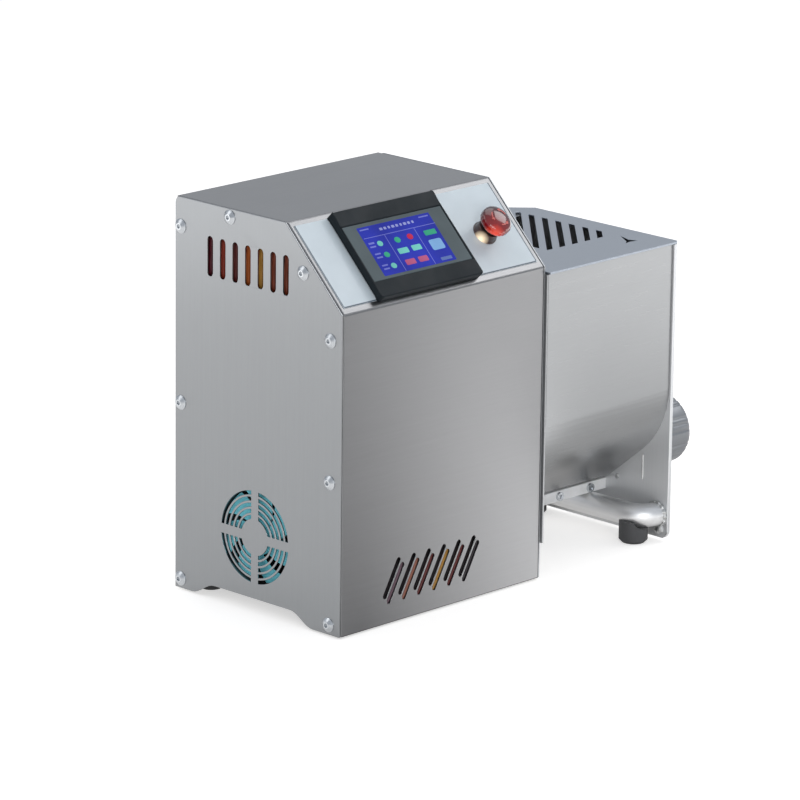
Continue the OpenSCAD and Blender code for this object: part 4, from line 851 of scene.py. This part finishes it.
@dataclass
class SubAssembly:
    """A group of pieces that is built and dressed together."""

    body: ClassVar[str] = "frame"
    sharp_angle: ClassVar[float] = 25.0
    shortest: ClassVar[float] = 2.2
    count: int = field(default=0, init=False)

    def dress(self, finish: Finish, *nodes: str) -> None:
        """Put a finish on CAD nodes whose shapes stay.

        Args:
            finish: The finish.
            nodes: Names of the nodes.
        """
        for name in nodes:
            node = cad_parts[name]
            if not node.material_slots:
                node.data.materials.append(finish.material())
            for place in node.material_slots:
                place.material = finish.material()
            LOG.info("dressed %s in %s", name, finish.name)

    def piece(self, name: str, part: Part, finish: Finish, slot: str, body: str | None = None,
              replaces: Sequence[str] = (), crease: float = 32.0) -> bpy.types.Object:
        """Make a finished part into a piece that rides on a body.

        Args:
            name: The piece's name.
            part: Its mesh, in metres.
            finish: Its finish.
            slot: Not used.
            body: The body that it rides on; the sub-assembly's own if None.
            replaces: CAD nodes that it stands for.
            crease: Angle in degrees above which an edge stays sharp.

        Returns:
            The piece.
        """
        mesh = bpy.data.meshes.new(name)
        part.mesh.to_mesh(mesh)
        part.mesh.free()
        mesh.polygons.foreach_set("use_smooth", [True] * len(mesh.polygons))
        mesh.set_sharp_from_angle(angle=math.radians(crease))
        mesh.materials.append(finish.material())
        made = put(name, mesh)
        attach(made, body or self.body)
        if replaces:
            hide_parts(*replaces)
        self.count += 1
        LOG.info("built %s on %s", name, body or self.body)
        return made

    def soft_copy(self, name: str, node: str, finish: Finish, slot: str, fold: float = 0.4,
                  fine: float = 0.3, long_edge: float = 60.0, body: str | None = None,
                  seam: float = 0.0) -> bpy.types.Object:
        """Replace a node by a copy of its solid with rounded edges.

        Args:
            name: The piece's name.
            node: The CAD node.
            finish: Its finish.
            slot: Not used; passed on to piece.
            fold: Rounding of edges at least long_edge long.
            fine: Rounding of the other sharp edges.
            long_edge: Length from which an edge counts as a fold.
            body: The body that it rides on.
            seam: Gap left at the piece's left end.

        Returns:
            The piece.
        """
        part = Part().solid_of(node)
        if seam:
            end = min(vert.co.x for vert in part.mesh.verts)
            for vert in part.mesh.verts:
                if abs(vert.co.x - end) < 10 * TINY:
                    vert.co.x += seam * MM
        weight = part.mesh.edges.layers.float.new("bevel_weight_edge")
        widest = max(fold, fine)
        for edge in part.mesh.edges:
            if len(edge.link_faces) == 2 and edge.calc_face_angle(0.0) > math.radians(self.sharp_angle):
                length = edge.calc_length() / MM
                if length >= long_edge:
                    edge[weight] = fold / widest
                elif length > self.shortest * fine:
                    edge[weight] = fine / widest
        made = self.piece(name, part, finish, slot, body, (node,))
        bevel = made.modifiers.new("rounded edges", "BEVEL")
        bevel.limit_method = "WEIGHT"
        bevel.width = widest * MM
        bevel.segments = 3
        bevel.use_clamp_overlap = False
        bevel.loop_slide = False
        flat = made.modifiers.new("flat faces", "WEIGHTED_NORMAL")
        flat.keep_sharp = True
        return made


@dataclass
class Housing(SubAssembly):
    """The sheet-metal housing with its screws, vents and feet."""

    fold: float = 1.3
    edge: float = 0.3
    seam: float = 0.9
    vent_rear_y: float = 166.0
    vent_pitch: float = 16.0
    vent_mid_z: float = 319.5
    front_vent_x: float = 114.3
    front_vent_z: float = 43.3
    front_vent_pitch: float = 19.4
    front_vent_lean: float = 29.0
    side_cable_r: float = 2.5
    front_cable_r: float = 2.7
    side_cable_yx: Sequence[tuple[float, float]] = ((6.6, 8.0), (11.6, 8.6))
    shade_cable: Point = (12.4, 12.0, 38.5)

    def build(self) -> None:
        """Round the sheets and dress the rest."""
        self.soft_copy("front_cover", "wrap_cover", COVER_STEEL, "satin_stainless", fold=self.fold,
                       fine=self.edge, seam=self.seam)
        for side in ("left", "right"):
            self.soft_copy(f"{side}_panel", f"{side}_side_panel", PANEL_STEEL, "satin_stainless",
                           fold=self.edge, fine=self.edge)
        self.soft_copy("back_panel", "rear_panel", REAR_STEEL, "satin_stainless", fold=0.9,
                       fine=self.edge, long_edge=150.0)
        # The base plate's dark finish is painted shade inside the housing.
        self.dress(SHADED_INNER_STEEL, "base_plate")
        self.dress(SCREW_STEEL, "side_panel_screws", "flush_panel_screws", "housing_foot_screws")
        self.dress(BRASS, "panel_rivet_nuts")
        self.dress(RUBBER, "housing_feet")
        self.build_side_loom()
        self.build_front_loom()

    def build_side_loom(self) -> None:
        """Hang the loom's cables behind the side vents, one bunch a slot."""
        bunches = [(Wire.PLUM, Wire.MAROON), (Wire.BRICK, Wire.RUST), (Wire.MAROON, Wire.RUST),
                   (Wire.ORANGE, Wire.BRICK), (Wire.OCHRE, Wire.ORANGE), (Wire.RUST, Wire.BRICK),
                   (Wire.RUST, Wire.MAROON)]
        mid = self.vent_mid_z
        for i, bunch in enumerate(bunches):
            for k, (kind, (along, x)) in enumerate(zip(bunch, self.side_cable_yx)):
                y = self.vent_rear_y - i * self.vent_pitch + along
                path = curve_points([(x + 8, y + 4, mid + 28), (x, y - 0.8, mid + 14),
                                     (x + 0.6, y + 0.8, mid), (x - 0.4, y - 0.6, mid - 18),
                                     (x + 9, y + 3, mid - 30)])
                self.piece(f"side_cable_{i + 1}_{k + 1}", Part().tube(path, self.side_cable_r), kind.finish,
                           "black_plastic")

    def build_front_loom(self) -> None:
        """Lay a cable behind the second slot of each front pair, and a dark one behind the first as painted
        shade.
        """
        kinds = [Wire.MAUVE, Wire.CLAY, Wire.MAROON, Wire.OCHRE, Wire.MAROON, Wire.DARK]
        lean = math.radians(self.front_vent_lean)
        along = Vector((math.sin(lean), 0, math.cos(lean)))
        across = Vector((math.cos(lean), 0, -math.sin(lean)))
        behind = Part()
        for i, kind in enumerate(kinds):
            x = self.front_vent_x + (i - 2.5) * self.front_vent_pitch
            middle = Vector((x + 2.5, 5.0, self.front_vent_z - 1.0)) + 8.9 * across - 2.5 * along
            path = curve_points([tuple(middle + t * along + Vector((0, abs(t) ** 3 / 12000, 0)))
                                 for t in (-24, -12, 0, 12, 24)])
            self.piece(f"front_cable_{i + 1}", Part().tube(path, self.front_cable_r), kind.finish,
                       "black_plastic")
            # The dark cable behind the first slot of each pair is painted shade inside the housing.
            dark = Vector((x, 0, 0)) + Vector(self.shade_cable)
            behind.tube([dark + t * along for t in (-20, 1, 22)], self.front_cable_r)
        self.piece("front_loom_painted_shade", behind, Wire.DARK.finish, "black_plastic")


@dataclass
class Screen(SubAssembly):
    """The touch screen with what it shows."""

    glass_h: float = 7.9
    ink_h: float = 8.0
    field_x: tuple[float, float] = (64.5, 155.5)
    field_s: tuple[float, float] = (24.0, 75.4)
    title: Point = (91.5, 69.8, 5.0)
    title_blocks: int = 9
    shapes: Sequence[tuple[str, str, float, float, float, float]] = (
        ("lamp_left_1", "MINT", 80.9, 56.1, 6.6, 5.6), ("lamp_left_2", "GREEN", 81.1, 44.1, 6.6, 5.6),
        ("lamp_left_3", "MINT", 81.4, 32.1, 6.6, 5.6), ("lamp_run", "GREEN", 102.5, 55.8, 7.0, 6.0),
        ("lamp_halt", "RED", 118.7, 56.2, 7.0, 6.0), ("key_mint_1", "MINT", 102.0, 44.3, 12.5, 5.6),
        ("key_mint_2", "MINT", 118.8, 44.5, 11.5, 5.6), ("key_rose_1", "ROSE", 102.6, 32.1, 12.0, 5.6),
        ("key_rose_2", "ROSE", 118.7, 32.2, 11.5, 5.6), ("key_green", "GREEN", 144.2, 56.0, 14.5, 5.2),
        ("key_sky", "SKY", 143.7, 43.0, 15.5, 11.0), ("key_low", "SLATE", 144.9, 27.6, 13.5, 3.2),
        ("rule_top", "LAVENDER", 111.0, 63.8, 90.0, 0.6), ("rule_left", "LAVENDER", 91.4, 44.0, 0.6, 39.0),
        ("rule_right", "LAVENDER", 128.6, 44.0, 0.6, 39.0), ("tick_1", "LAVENDER", 71.3, 58.0, 7.0, 1.8),
        ("tick_2", "LAVENDER", 71.0, 54.3, 7.0, 1.5), ("tick_3", "LAVENDER", 71.4, 46.6, 7.0, 1.5),
        ("tick_4", "LAVENDER", 71.4, 42.8, 7.0, 1.5), ("tick_5", "LAVENDER", 71.6, 34.3, 7.0, 1.5),
        ("tick_6", "LAVENDER", 71.6, 30.6, 7.0, 1.5), ("strip_left", "LAVENDER", 72.4, 72.6, 11.0, 1.3),
        ("strip_right", "LAVENDER", 147.0, 72.6, 12.0, 1.3),
    )

    def build(self) -> None:
        """Build the bezel, the display and its field, and dress the rest."""
        self.soft_copy("screen_surround", "screen_bezel", BEZEL, "bezel_plastic", fold=1.5, fine=0.5,
                       long_edge=40.0)
        self.dress(LABEL, "control_label")
        self.dress(GLASS_FRAME, "screen_glass")
        self.dress(BLACK, "screen_body")
        self.dress(SCREW_STEEL, "screen_clamps")
        x0, x1 = self.field_x
        s0, s1 = self.field_s
        blue = Part().plate(rounded_outline(x1 - x0, s1 - s0, 0.6), 0.0, 0.12,
                            on_slope((x0 + x1) / 2, (s0 + s1) / 2, self.glass_h))
        self.piece("display_field", blue, FIELD_BLUE, "screen_glass")
        for name, ink, x, s, width, height in self.shapes:
            outline = (oval_outline(width, height) if name.startswith("lamp") else
                       rounded_outline(width, height, min(width, height) * 0.18))
            shape = Part().plate(outline, 0.0, 0.16, on_slope(x, s, self.ink_h), 0.04)
            self.piece(f"display_{name}", shape, Ink[ink].finish, "screen_glass")
        self.build_title()

    def build_title(self) -> None:
        """Draw the heading as a row of plain blocks."""
        part = Part()
        x, s, pitch = self.title
        for i in range(self.title_blocks):
            part.plate(rounded_outline(3.5 - 0.5 * (i % 3), 2.6, 0.5, 3), 0.0, 0.12,
                       on_slope(x + i * pitch, s, self.ink_h))
        self.piece("display_heading", part, Ink.WHITE.finish, "screen_glass")


@dataclass
class StopButton(SubAssembly):
    """The stop button on the slope, with a painted glow and painted shade."""

    x: float = 213.5
    s: float = 46.2
    base_h: float = 0.5
    head_low: float = 13.5
    head_high: float = 27.0
    head_r: float = 15.0
    scallops: int = 24
    scallop_d: float = 0.35
    arrow_rings: Sequence[tuple[float, float]] = ((7.7, 8.7),) * 5 + ((6.8, 9.6), (7.8, 8.6))
    arrow_from: float = 10.0
    arrow_step: float = 9.0

    def build(self) -> None:
        """Build the collar and the head."""
        self.build_collar()
        self.build_head()
        self.dress(BLACK, "stop_locknut", "stop_contact_block", "stop_plunger")

    def build_collar(self) -> None:
        """Turn the collar with a stepped skirt; its finish paints a glow and shade on it."""
        profile = [(8.0, -16.0), (11.0, -16.0), (11.0, 0.0), (12.2, 0.0), (12.2, 0.7), (11.9, 1.1),
                   (11.2, 1.4), (11.0, 2.4), (10.8, 5.0), (10.5, 7.5), (10.0, 8.2), (8.4, 8.2), (8.0, 7.8)]
        part = Part().lathe(profile, on_slope(self.x, self.s, self.base_h), 72)
        self.piece("stop_lamp_collar", part, COLLAR, "stop_lamp", replaces=("stop_collar",))

    def build_head(self) -> None:
        """Turn the mushroom head, gripped at its rim, with three arrows on it."""
        low, high, r = self.head_low, self.head_high, self.head_r
        profile = [(7.6, low + 3.2), (7.6, low), (10.6, low), (12.2, low + 0.6), (14.0, low + 2.2),
                   (14.9, low + 3.6), (r, low + 4.6), (r, low + 7.4), (14.7, low + 8.8), (13.6, low + 10.2),
                   (11.4, low + 11.6), (8.4, high - 0.8), (4.6, high - 0.2), (0.0, high), (0.0, low + 3.2)]

        def grip(radius: float, height: float, angle: float) -> float:
            """Scallop the rim between its lower and upper edge."""
            if low + 2.0 < height < low + 9.5 and radius > 13.5:
                return radius - self.scallop_d * (1 - abs(math.cos(math.radians(angle * self.scallops / 2))))
            return radius

        head = Part().lathe(profile, on_slope(self.x, self.s, 0.0), 96, grip)
        self.piece("stop_push_head", head, STOP_RED, "stop_red", "stop_head", ("stop_head",))
        arrows = Part()
        for turn in range(3):
            for k, (inner, outer) in enumerate(self.arrow_rings):
                start = 120 * turn + self.arrow_from + self.arrow_step * k
                a0, a1 = math.radians(start), math.radians(start + self.arrow_step + 0.4)
                ring = [(r * math.cos(a), r * math.sin(a)) for r, a in
                        ((inner, a0), (outer, a0), (outer, a1), (inner, a1))]
                arrows.plate(ring, high - 1.6, high - 0.5, on_slope(self.x, self.s))
        self.piece("stop_turn_arrows", arrows, ARROW_RED, "stop_red", "stop_head")


@dataclass
class Fan(SubAssembly):
    """The cooling fan behind the side panel's grille."""

    x: float = 3.5
    y: float = 108.0
    z: float = 71.0
    hub_r: float = 17.0
    tip_r: float = 43.2
    blades: int = 7
    phase: float = 1.08
    sweep: float = 0.46
    width: float = 0.69
    taper: float = 0.04
    sink: float = 0.6
    thickness: float = 1.3
    rows: int = 9
    columns: int = 10

    def build(self) -> None:
        """Build the rotor with its swept blades and dress the frame."""
        self.dress(BLACK, "fan_frame")
        self.dress(STUD_STEEL, "fan_studs")
        part = Part()
        hub = [(0.0, 0.0), (self.hub_r - 1.6, 0.0), (self.hub_r - 0.3, 0.6), (self.hub_r, 1.8),
               (self.hub_r, 18.0), (2.0, 18.0), (2.0, 20.6), (0.0, 20.6)]
        part.lathe(hub, along_x(self.x, self.y, self.z), 72)
        for i in range(self.blades):
            self.add_blade(part, math.tau * i / self.blades)
        self.piece("fan_wheel", part, FAN_TEAL, "fan_blue", "fan_rotor", ("fan_rotor",))

    def add_blade(self, part: Part, start: float) -> None:
        """Add one swept blade as a thin twisted shell.

        Args:
            part: The rotor.
            start: Angle of the blade's root in radians.
        """
        work = bmesh.new()
        rows, columns = self.rows, self.columns
        skins = []
        for side in (0.0, self.thickness):
            grid = []
            for i in range(rows):
                share = i / (rows - 1)
                r = self.hub_r - self.sink + (self.tip_r - self.hub_r + self.sink) * share
                middle = start + self.phase - self.sweep * share
                line = []
                for k in range(columns):
                    across = k / (columns - 1)
                    angle = middle + (self.width - self.taper * share) * (across - 0.5)
                    full = 0.35 + 0.65 * math.sin(math.pi * max(0.05, min(0.95, across)))
                    lift = 0.8 + 3.6 * across + 0.8 * math.sin(math.pi * across) + side * full
                    line.append(work.verts.new((r * math.cos(angle), r * math.sin(angle), lift)))
                grid.append(line)
            skins.append(grid)
        low, high = skins
        for i in range(rows - 1):
            for k in range(columns - 1):
                work.faces.new((low[i][k], low[i + 1][k], low[i + 1][k + 1], low[i][k + 1]))
                work.faces.new((high[i][k], high[i][k + 1], high[i + 1][k + 1], high[i + 1][k]))
        border = ([(0, k) for k in range(columns)] + [(i, columns - 1) for i in range(1, rows)]
                  + [(rows - 1, k) for k in range(columns - 2, -1, -1)]
                  + [(i, 0) for i in range(rows - 2, 0, -1)])
        for (a, b), (c, d) in zip(border, border[1:] + border[:1]):
            work.faces.new((low[a][b], low[c][d], high[c][d], high[a][b]))
        bmesh.ops.recalc_face_normals(work, faces=work.faces)
        part.take(work, along_x(self.x, self.y, self.z))


@dataclass
class Drive(SubAssembly):
    """The motor, the gear trains and the electrics inside the housing."""

    rocker: Point = (60.0, 206.5, 165.0)
    rocker_tilt: float = -8.0
    mark_y: float = 4.27
    mark_z: float = 6.5
    mark_h: tuple[float, float] = (-0.2, 0.25)

    def build(self) -> None:
        """Dress the drive's nodes and mark the rocker."""
        self.dress(MOTOR_PAINT, "motor_case", "motor_end_bell")
        self.dress(COPPER, "motor_stator")
        self.dress(GEAR_STEEL, "motor_rotor", "motor_bearings", "drive_bearings", "mixer_bearings",
                   "reduction_gear", "drive_shaft", "mixer_gear", "auger_gear", "lid_magnet")
        # The cradle's dark finish is painted shade inside the housing.
        self.dress(SHADED_INNER_STEEL, "motor_cradle")
        self.dress(GEARBOX, "reduction_case", "gear_case", "gear_case_cover")
        self.dress(RUBBER, "shaft_seals")
        self.dress(BOARD, "drive_board")
        self.dress(BLACK, "power_inlet", "lid_sensor")
        self.dress(ROCKER_RED, "power_rocker")
        self.mark_rocker()

    def mark_rocker(self) -> None:
        """Raise the line and the ring on the rocker's two halves."""
        tilt = MACHINE @ Matrix.Translation(self.rocker) @ Matrix.Rotation(
            math.radians(self.rocker_tilt), 4, "X")
        lean = math.atan2(1.6, 12.0)
        low, high = self.mark_h
        line, ring = (tilt @ Matrix.Translation((0, self.mark_y, self.mark_z * side)) @ Matrix.Rotation(
            math.radians(-90) - side * lean, 4, "X") for side in (1, -1))
        part = Part().plate(rounded_outline(1.1, 5.2, 0.4), low, high, line, 0.1)
        part.lathe([(1.7, low), (2.7, low), (2.7, high), (1.7, high)], ring, 40)
        self.piece("rocker_marks", part, RING_PAINT, "stop_red", "power_rocker")


@dataclass
class Trough(SubAssembly):
    """The mixing trough with its lid, hinge and end plate."""

    end_x: float = 431.4
    tube_y: float = 9.4
    tube_z: float = 25.5
    weld_r: float = 11.7
    bead_r: float = 1.6
    rib_r: float = 0.9

    def build(self) -> None:
        """Round the sheets, add the welds and dress the rest."""
        self.soft_copy("trough_wall", "trough_shell", TROUGH_STEEL, "trough_stainless", fold=0.35,
                       long_edge=40.0)
        # The end plate's light finish is painted light.
        self.soft_copy("trough_end", "trough_end_plate", END_PAINTED_LIGHT, "trough_stainless", fold=0.5,
                       long_edge=40.0)
        self.soft_copy("trough_back", "trough_back_plate", TROUGH_STEEL, "trough_stainless")
        self.soft_copy("trough_lid", "lid", LID_STEEL, "lid_stainless", fold=0.5, body="lid")
        self.dress(SCREW_STEEL, "trough_nuts")
        self.dress(BASE_STEEL, "hinge_leaf")
        self.dress(FOOD_STEEL, "mixer_shaft")
        self.dress(BUSH, "mixer_end_bush")
        self.build_welds()

    def build_welds(self) -> None:
        """Lay the weld beads at the end plate and around the tube's end."""
        x = self.end_x - 0.3

        def ripple(share: float) -> float:
            """Swell and shrink along a bead."""
            return 0.85 + 0.22 * math.sin(share * 90.0) + 0.1 * math.sin(share * 37.0)

        arc = [Vector((x - 0.6, self.tube_y + self.weld_r * math.cos(math.radians(a)),
                       self.tube_z + self.weld_r * math.sin(math.radians(a)))) for a in range(-100, 261, 3)]
        self.piece("tube_weld", Part().tube(arc, self.bead_r, 10, ripple), WELD, "trough_stainless")
        blob = [(0.0, -0.6), (4.6, -0.6), (5.2, 0.3), (4.6, 1.5), (2.6, 2.6), (0.0, 2.9)]

        def lumpy(radius: float, height: float, angle: float) -> float:
            """Make the drop's rim uneven."""
            turn = math.radians(angle)
            return radius * (1 + 0.16 * math.sin(2 * turn + 0.6) + 0.1 * math.sin(5 * turn))

        drop = Part().lathe(blob, along_x(x, 5.6, 11.4) @ Matrix.Rotation(math.pi, 4, "X"), 32, lumpy)
        self.piece("weld_drop", drop, WELD, "trough_stainless")
        rib = curve_points([(x, 28.0, 79.6), (x + 0.2, 28.0, 67.0), (x, 28.0, 55.8)], 6)
        self.piece("end_plate_rib", Part().tube(rib, self.rib_r, 8), WELD, "trough_stainless")


@dataclass
class Extruder(SubAssembly):
    """The auger's barrel, the die and the ring nut."""

    axis_y: float = 85.6
    axis_z: float = 77.0
    nut_x0: float = 497.6
    nut_x1: float = 529.6
    nut_r: float = 34.0
    bore_r: float = 28.6
    mouth_r: float = 23.0
    lip: float = 4.0
    bevel: float = 0.9
    round_from: float = 24.5
    round_r: float = 7.4
    stations: Sequence[float] = (2.0, 6.0, 12.0, 18.0, 22.0, 24.5, 26.5, 28.5, 30.2, 31.4)
    bunch: Sequence[float] = (152.0, 162.0, 173.0)
    bunches: int = 8
    groove_w: float = 2.6
    groove_d: float = 0.95

    def build(self) -> None:
        """Turn the nut and dress the rest."""
        self.dress(FOOD_STEEL, "barrel", "auger")
        self.dress(BRONZE, "pasta_die")
        self.build_nut()

    def build_nut(self) -> None:
        """Turn the ring nut, with grooves cut along it in bunches."""
        length = self.nut_x1 - self.nut_x0
        profile = [(self.bore_r, 0.0)]
        for x in (0.0, self.bevel, *self.stations, length):
            back = max(0.0, x - self.round_from)
            drop = self.round_r - math.sqrt(max(0.0, self.round_r ** 2 - back ** 2))
            drop += max(0.0, self.bevel - x)
            profile.append((self.nut_r - drop, x))
        profile += [(self.mouth_r + 0.6, length), (self.mouth_r, length - 0.6),
                    (self.mouth_r, length - self.lip), (self.bore_r, length - self.lip)]
        grooves = [360 / self.bunches * i + shift for i in range(self.bunches) for shift in self.bunch]

        def fluted(radius: float, height: float, angle: float) -> float:
            """Cut the grooves into the outside only."""
            if radius < self.bore_r + 1.2 or height > length - 1.5:
                return radius
            near = min(abs((angle - groove + 180) % 360 - 180) for groove in grooves)
            depth = self.groove_d * max(0.0, 1 - (near / self.groove_w) ** 2)
            return radius - depth * min(1.0, (length - height) / 5.0)

        part = Part().lathe(profile, along_x(self.nut_x0, self.axis_y, self.axis_z), 288, fluted)
        self.piece("die_ring_nut", part, NUT_ALLOY, "nut_alloy", "ring_nut", ("ring_nut",), crease=50.0)


@dataclass
class Support(SubAssembly):
    """The bent tube, the flat bar and the feet under the trough."""

    def build(self) -> None:
        """Round the bar and dress the rest."""
        # The bar's near-white finish is painted light.
        self.soft_copy("flat_bar", "support_bar", BAR_PAINTED_LIGHT, "food_steel", fold=0.7, fine=0.4,
                       long_edge=40.0)
        # The tube's near-white finish is painted light.
        self.dress(TUBE_PAINTED_LIGHT, "support_tube")
        self.dress(SCREW_STEEL, "support_bar_screws")
        self.dress(RUBBER, "trough_feet")


# Studio ------------------------------------------------------------------------


@dataclass(frozen=True)
class Lamp:
    """A plain soft lamp."""

    name: str
    place: Point
    aim: Point
    size: tuple[float, float]
    power: float

    def build(self) -> None:
        """Hang the lamp."""
        data = bpy.data.lights.new(self.name, "AREA")
        data.shape = "RECTANGLE"
        data.size, data.size_y = self.size
        data.energy = self.power
        lamp = put(self.name, data)
        lamp.location = self.place
        lamp.rotation_euler = (Vector(self.aim) - Vector(self.place)).to_track_quat("-Z", "Y").to_euler()
        lamp.visible_camera = False


@dataclass
class Studio:
    """The floor, the lamps, the surroundings and the camera."""

    azimuth: float = -45.84921
    elevation: float = 15.51308
    roll: float = -0.69858
    lens: float = 234.17
    distance: float = 4740.5
    target: Point = (130.0, 130.0, 132.0)
    shift: tuple[float, float] = (-53.9035, -36.696)
    sensor: float = 36.0
    floor_size: float = 14.0
    floor_colours: tuple[Colour, Colour] = ((0.83, 0.8, 0.765, 1.0), (0.84, 0.81, 0.775, 1.0))
    world: Colour = (0.47, 0.5, 0.545, 1.0)
    floor_glow: float = 0.56
    floor_low: float = 0.07
    sweep_glow: float = 1.66
    sweep_from: float = -0.24
    sweep_to: float = -0.05
    rear_glow: float = 0.34
    # Where and how much the floor's glow is dimmed as a painted shadow under the housing.
    painted_shadow_x: tuple[float, float] = (-0.195, -0.045)
    painted_shadow_y: tuple[float, float] = (-0.065, 0.1)
    painted_shadow_dim: float = 0.9
    painted_shadow_edge: float = 0.02
    lamps: Sequence[Lamp] = (
        Lamp("right front lamp", (1.5, -0.62, 1.75), (-0.1, -0.05, 0.3), (1.0, 1.0), 8.5),
        Lamp("left rear lamp", (-1.5, 1.0, 1.3), (-0.1, 0.0, 0.2), (1.2, 1.2), 5.0),
        Lamp("overhead lamp", (0.5, 0.4, 2.2), (0.1, 0.0, 0.0), (1.6, 1.6), 8.0),
        Lamp("low left panel", (-1.05, 0.72, 0.16), (-0.26, 0.0, 0.25), (1.0, 0.22), 0.6),
        Lamp("rear right lamp", (1.5, 1.5, 0.9), (0.0, 0.0, 0.3), (1.2, 0.8), 0.7),
        Lamp("front fill", (-1.6, -2.2, 0.8), (0.1, 0.0, 0.1), (1.2, 1.0), 17.0),
    )

    def build(self) -> None:
        """Build the studio."""
        self.build_floor()
        self.build_world()
        for lamp in self.lamps:
            lamp.build()
        self.build_camera()

    def floor_light(self, graph: Graph) -> Socket:
        """Give the floor's own light.

        It is dimmed under the housing as a painted shadow, and for reflections brighter to the front right.

        Args:
            graph: The floor material's graph.

        Returns:
            The emission's strength.
        """
        ray = graph.add("LightPath").outputs
        x, y, _ = graph.axes(graph.where())
        across = graph.times(graph.plus(x, y), math.sqrt(0.5))
        ahead = graph.times(graph.minus(x, y), math.sqrt(0.5))
        front = graph.spread(ahead, -0.15, -0.1)
        near = graph.spread(ahead, 0.12, 0.42, 0.1, 0.0)
        rest = graph.sum("MAXIMUM", graph.spread(ahead, 0.4, 1.4), near)
        far = graph.sum("MAXIMUM", rest, graph.spread(across, -0.06, -0.02, 1.0, 0.0))
        rise = graph.spread(across, self.sweep_from, self.sweep_to)
        sweep = graph.times(graph.times(graph.times(rise, front), far), self.sweep_glow)
        rear = graph.times(graph.minus(1.0, front), self.rear_glow)
        mirrored = graph.plus(graph.plus(sweep, rear), self.floor_low)
        # Painted shadow: the glow is cut under the housing.
        under: Value = self.painted_shadow_dim
        for axis, (low, high) in ((x, self.painted_shadow_x), (y, self.painted_shadow_y)):
            under = graph.times(under, graph.spread(axis, low, low + self.painted_shadow_edge))
            under = graph.times(under, graph.spread(axis, high - self.painted_shadow_edge, high, 1.0, 0.0))
        open_glow = graph.times(graph.minus(1.0, under), self.floor_glow)
        seen = graph.sum("MAXIMUM", ray["Is Camera Ray"], ray["Is Transmission Ray"])
        return graph.plus(graph.times(seen, open_glow), graph.times(ray["Is Glossy Ray"], mirrored))

    def build_floor(self) -> None:
        """Lay a pale floor that keeps the machine's shadow."""
        work = bmesh.new()
        bmesh.ops.create_grid(work, x_segments=4, y_segments=4, size=self.floor_size / 2)
        mesh = bpy.data.meshes.new("floor")
        work.to_mesh(mesh)
        work.free()
        material, graph, shader = new_material("floor")
        speck = graph.spread(graph.noise(graph.where(), 3.0, 2.0), 0.3, 0.7)
        graph.link(shader, Base_Color=graph.blend(speck, *self.floor_colours), Roughness=1.0,
                   Specular_IOR_Level=0.0, Emission_Color=FULL_LIGHT,
                   Emission_Strength=self.floor_light(graph))
        mesh.materials.append(material)
        floor = put("floor", mesh)

    def build_world(self) -> None:
        """Surround the machine with an even grey that looks white."""
        world = bpy.data.worlds.new("studio")
        world.use_nodes = True
        bpy.context.scene.world = world
        graph = Graph(world.node_tree)
        back = next(node for node in world.node_tree.nodes if node.type == "BACKGROUND")
        seen = graph.add("LightPath").outputs["Is Camera Ray"]
        graph.link(back, Color=graph.blend(seen, self.world, FULL_LIGHT))

    def build_camera(self) -> None:
        """Stand the camera where the machine is seen from."""
        az, el, roll = (math.radians(angle) for angle in (self.azimuth, self.elevation, self.roll))
        back = Vector((math.sin(az) * math.cos(el), -math.cos(az) * math.cos(el), math.sin(el)))
        right = Vector((math.cos(az), math.sin(az), 0.0))
        up = back.cross(right)
        place = (Vector(self.target) - self.shift[0] * right - self.shift[1] * up + self.distance * back)
        side = math.cos(roll) * right - math.sin(roll) * up
        high = math.sin(roll) * right + math.cos(roll) * up
        data = bpy.data.cameras.new("camera")
        data.lens = self.lens
        data.sensor_width = self.sensor
        data.clip_end = 50.0
        camera = put("camera", data)
        turn = Matrix((side, high, back)).transposed().to_4x4()
        camera.matrix_world = Matrix.Translation((place - MIDDLE) * MM) @ turn
        bpy.context.scene.camera = camera


def main() -> None:
    """Build the machine and its studio in order."""
    logging.basicConfig(level=logging.INFO, format="%(name)s: %(message)s")
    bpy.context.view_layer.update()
    Studio().build()
    for part in (Housing(), Screen(), StopButton(), Fan(), Drive(), Trough(), Extruder(), Support()):
        part.build()
        LOG.info("%s: %d new pieces", type(part).__name__, part.count)
    scene = bpy.context.scene
    scene.view_settings.view_transform = "Standard"
    bpy.context.view_layer.update()


if __name__ == "__main__":
    main()
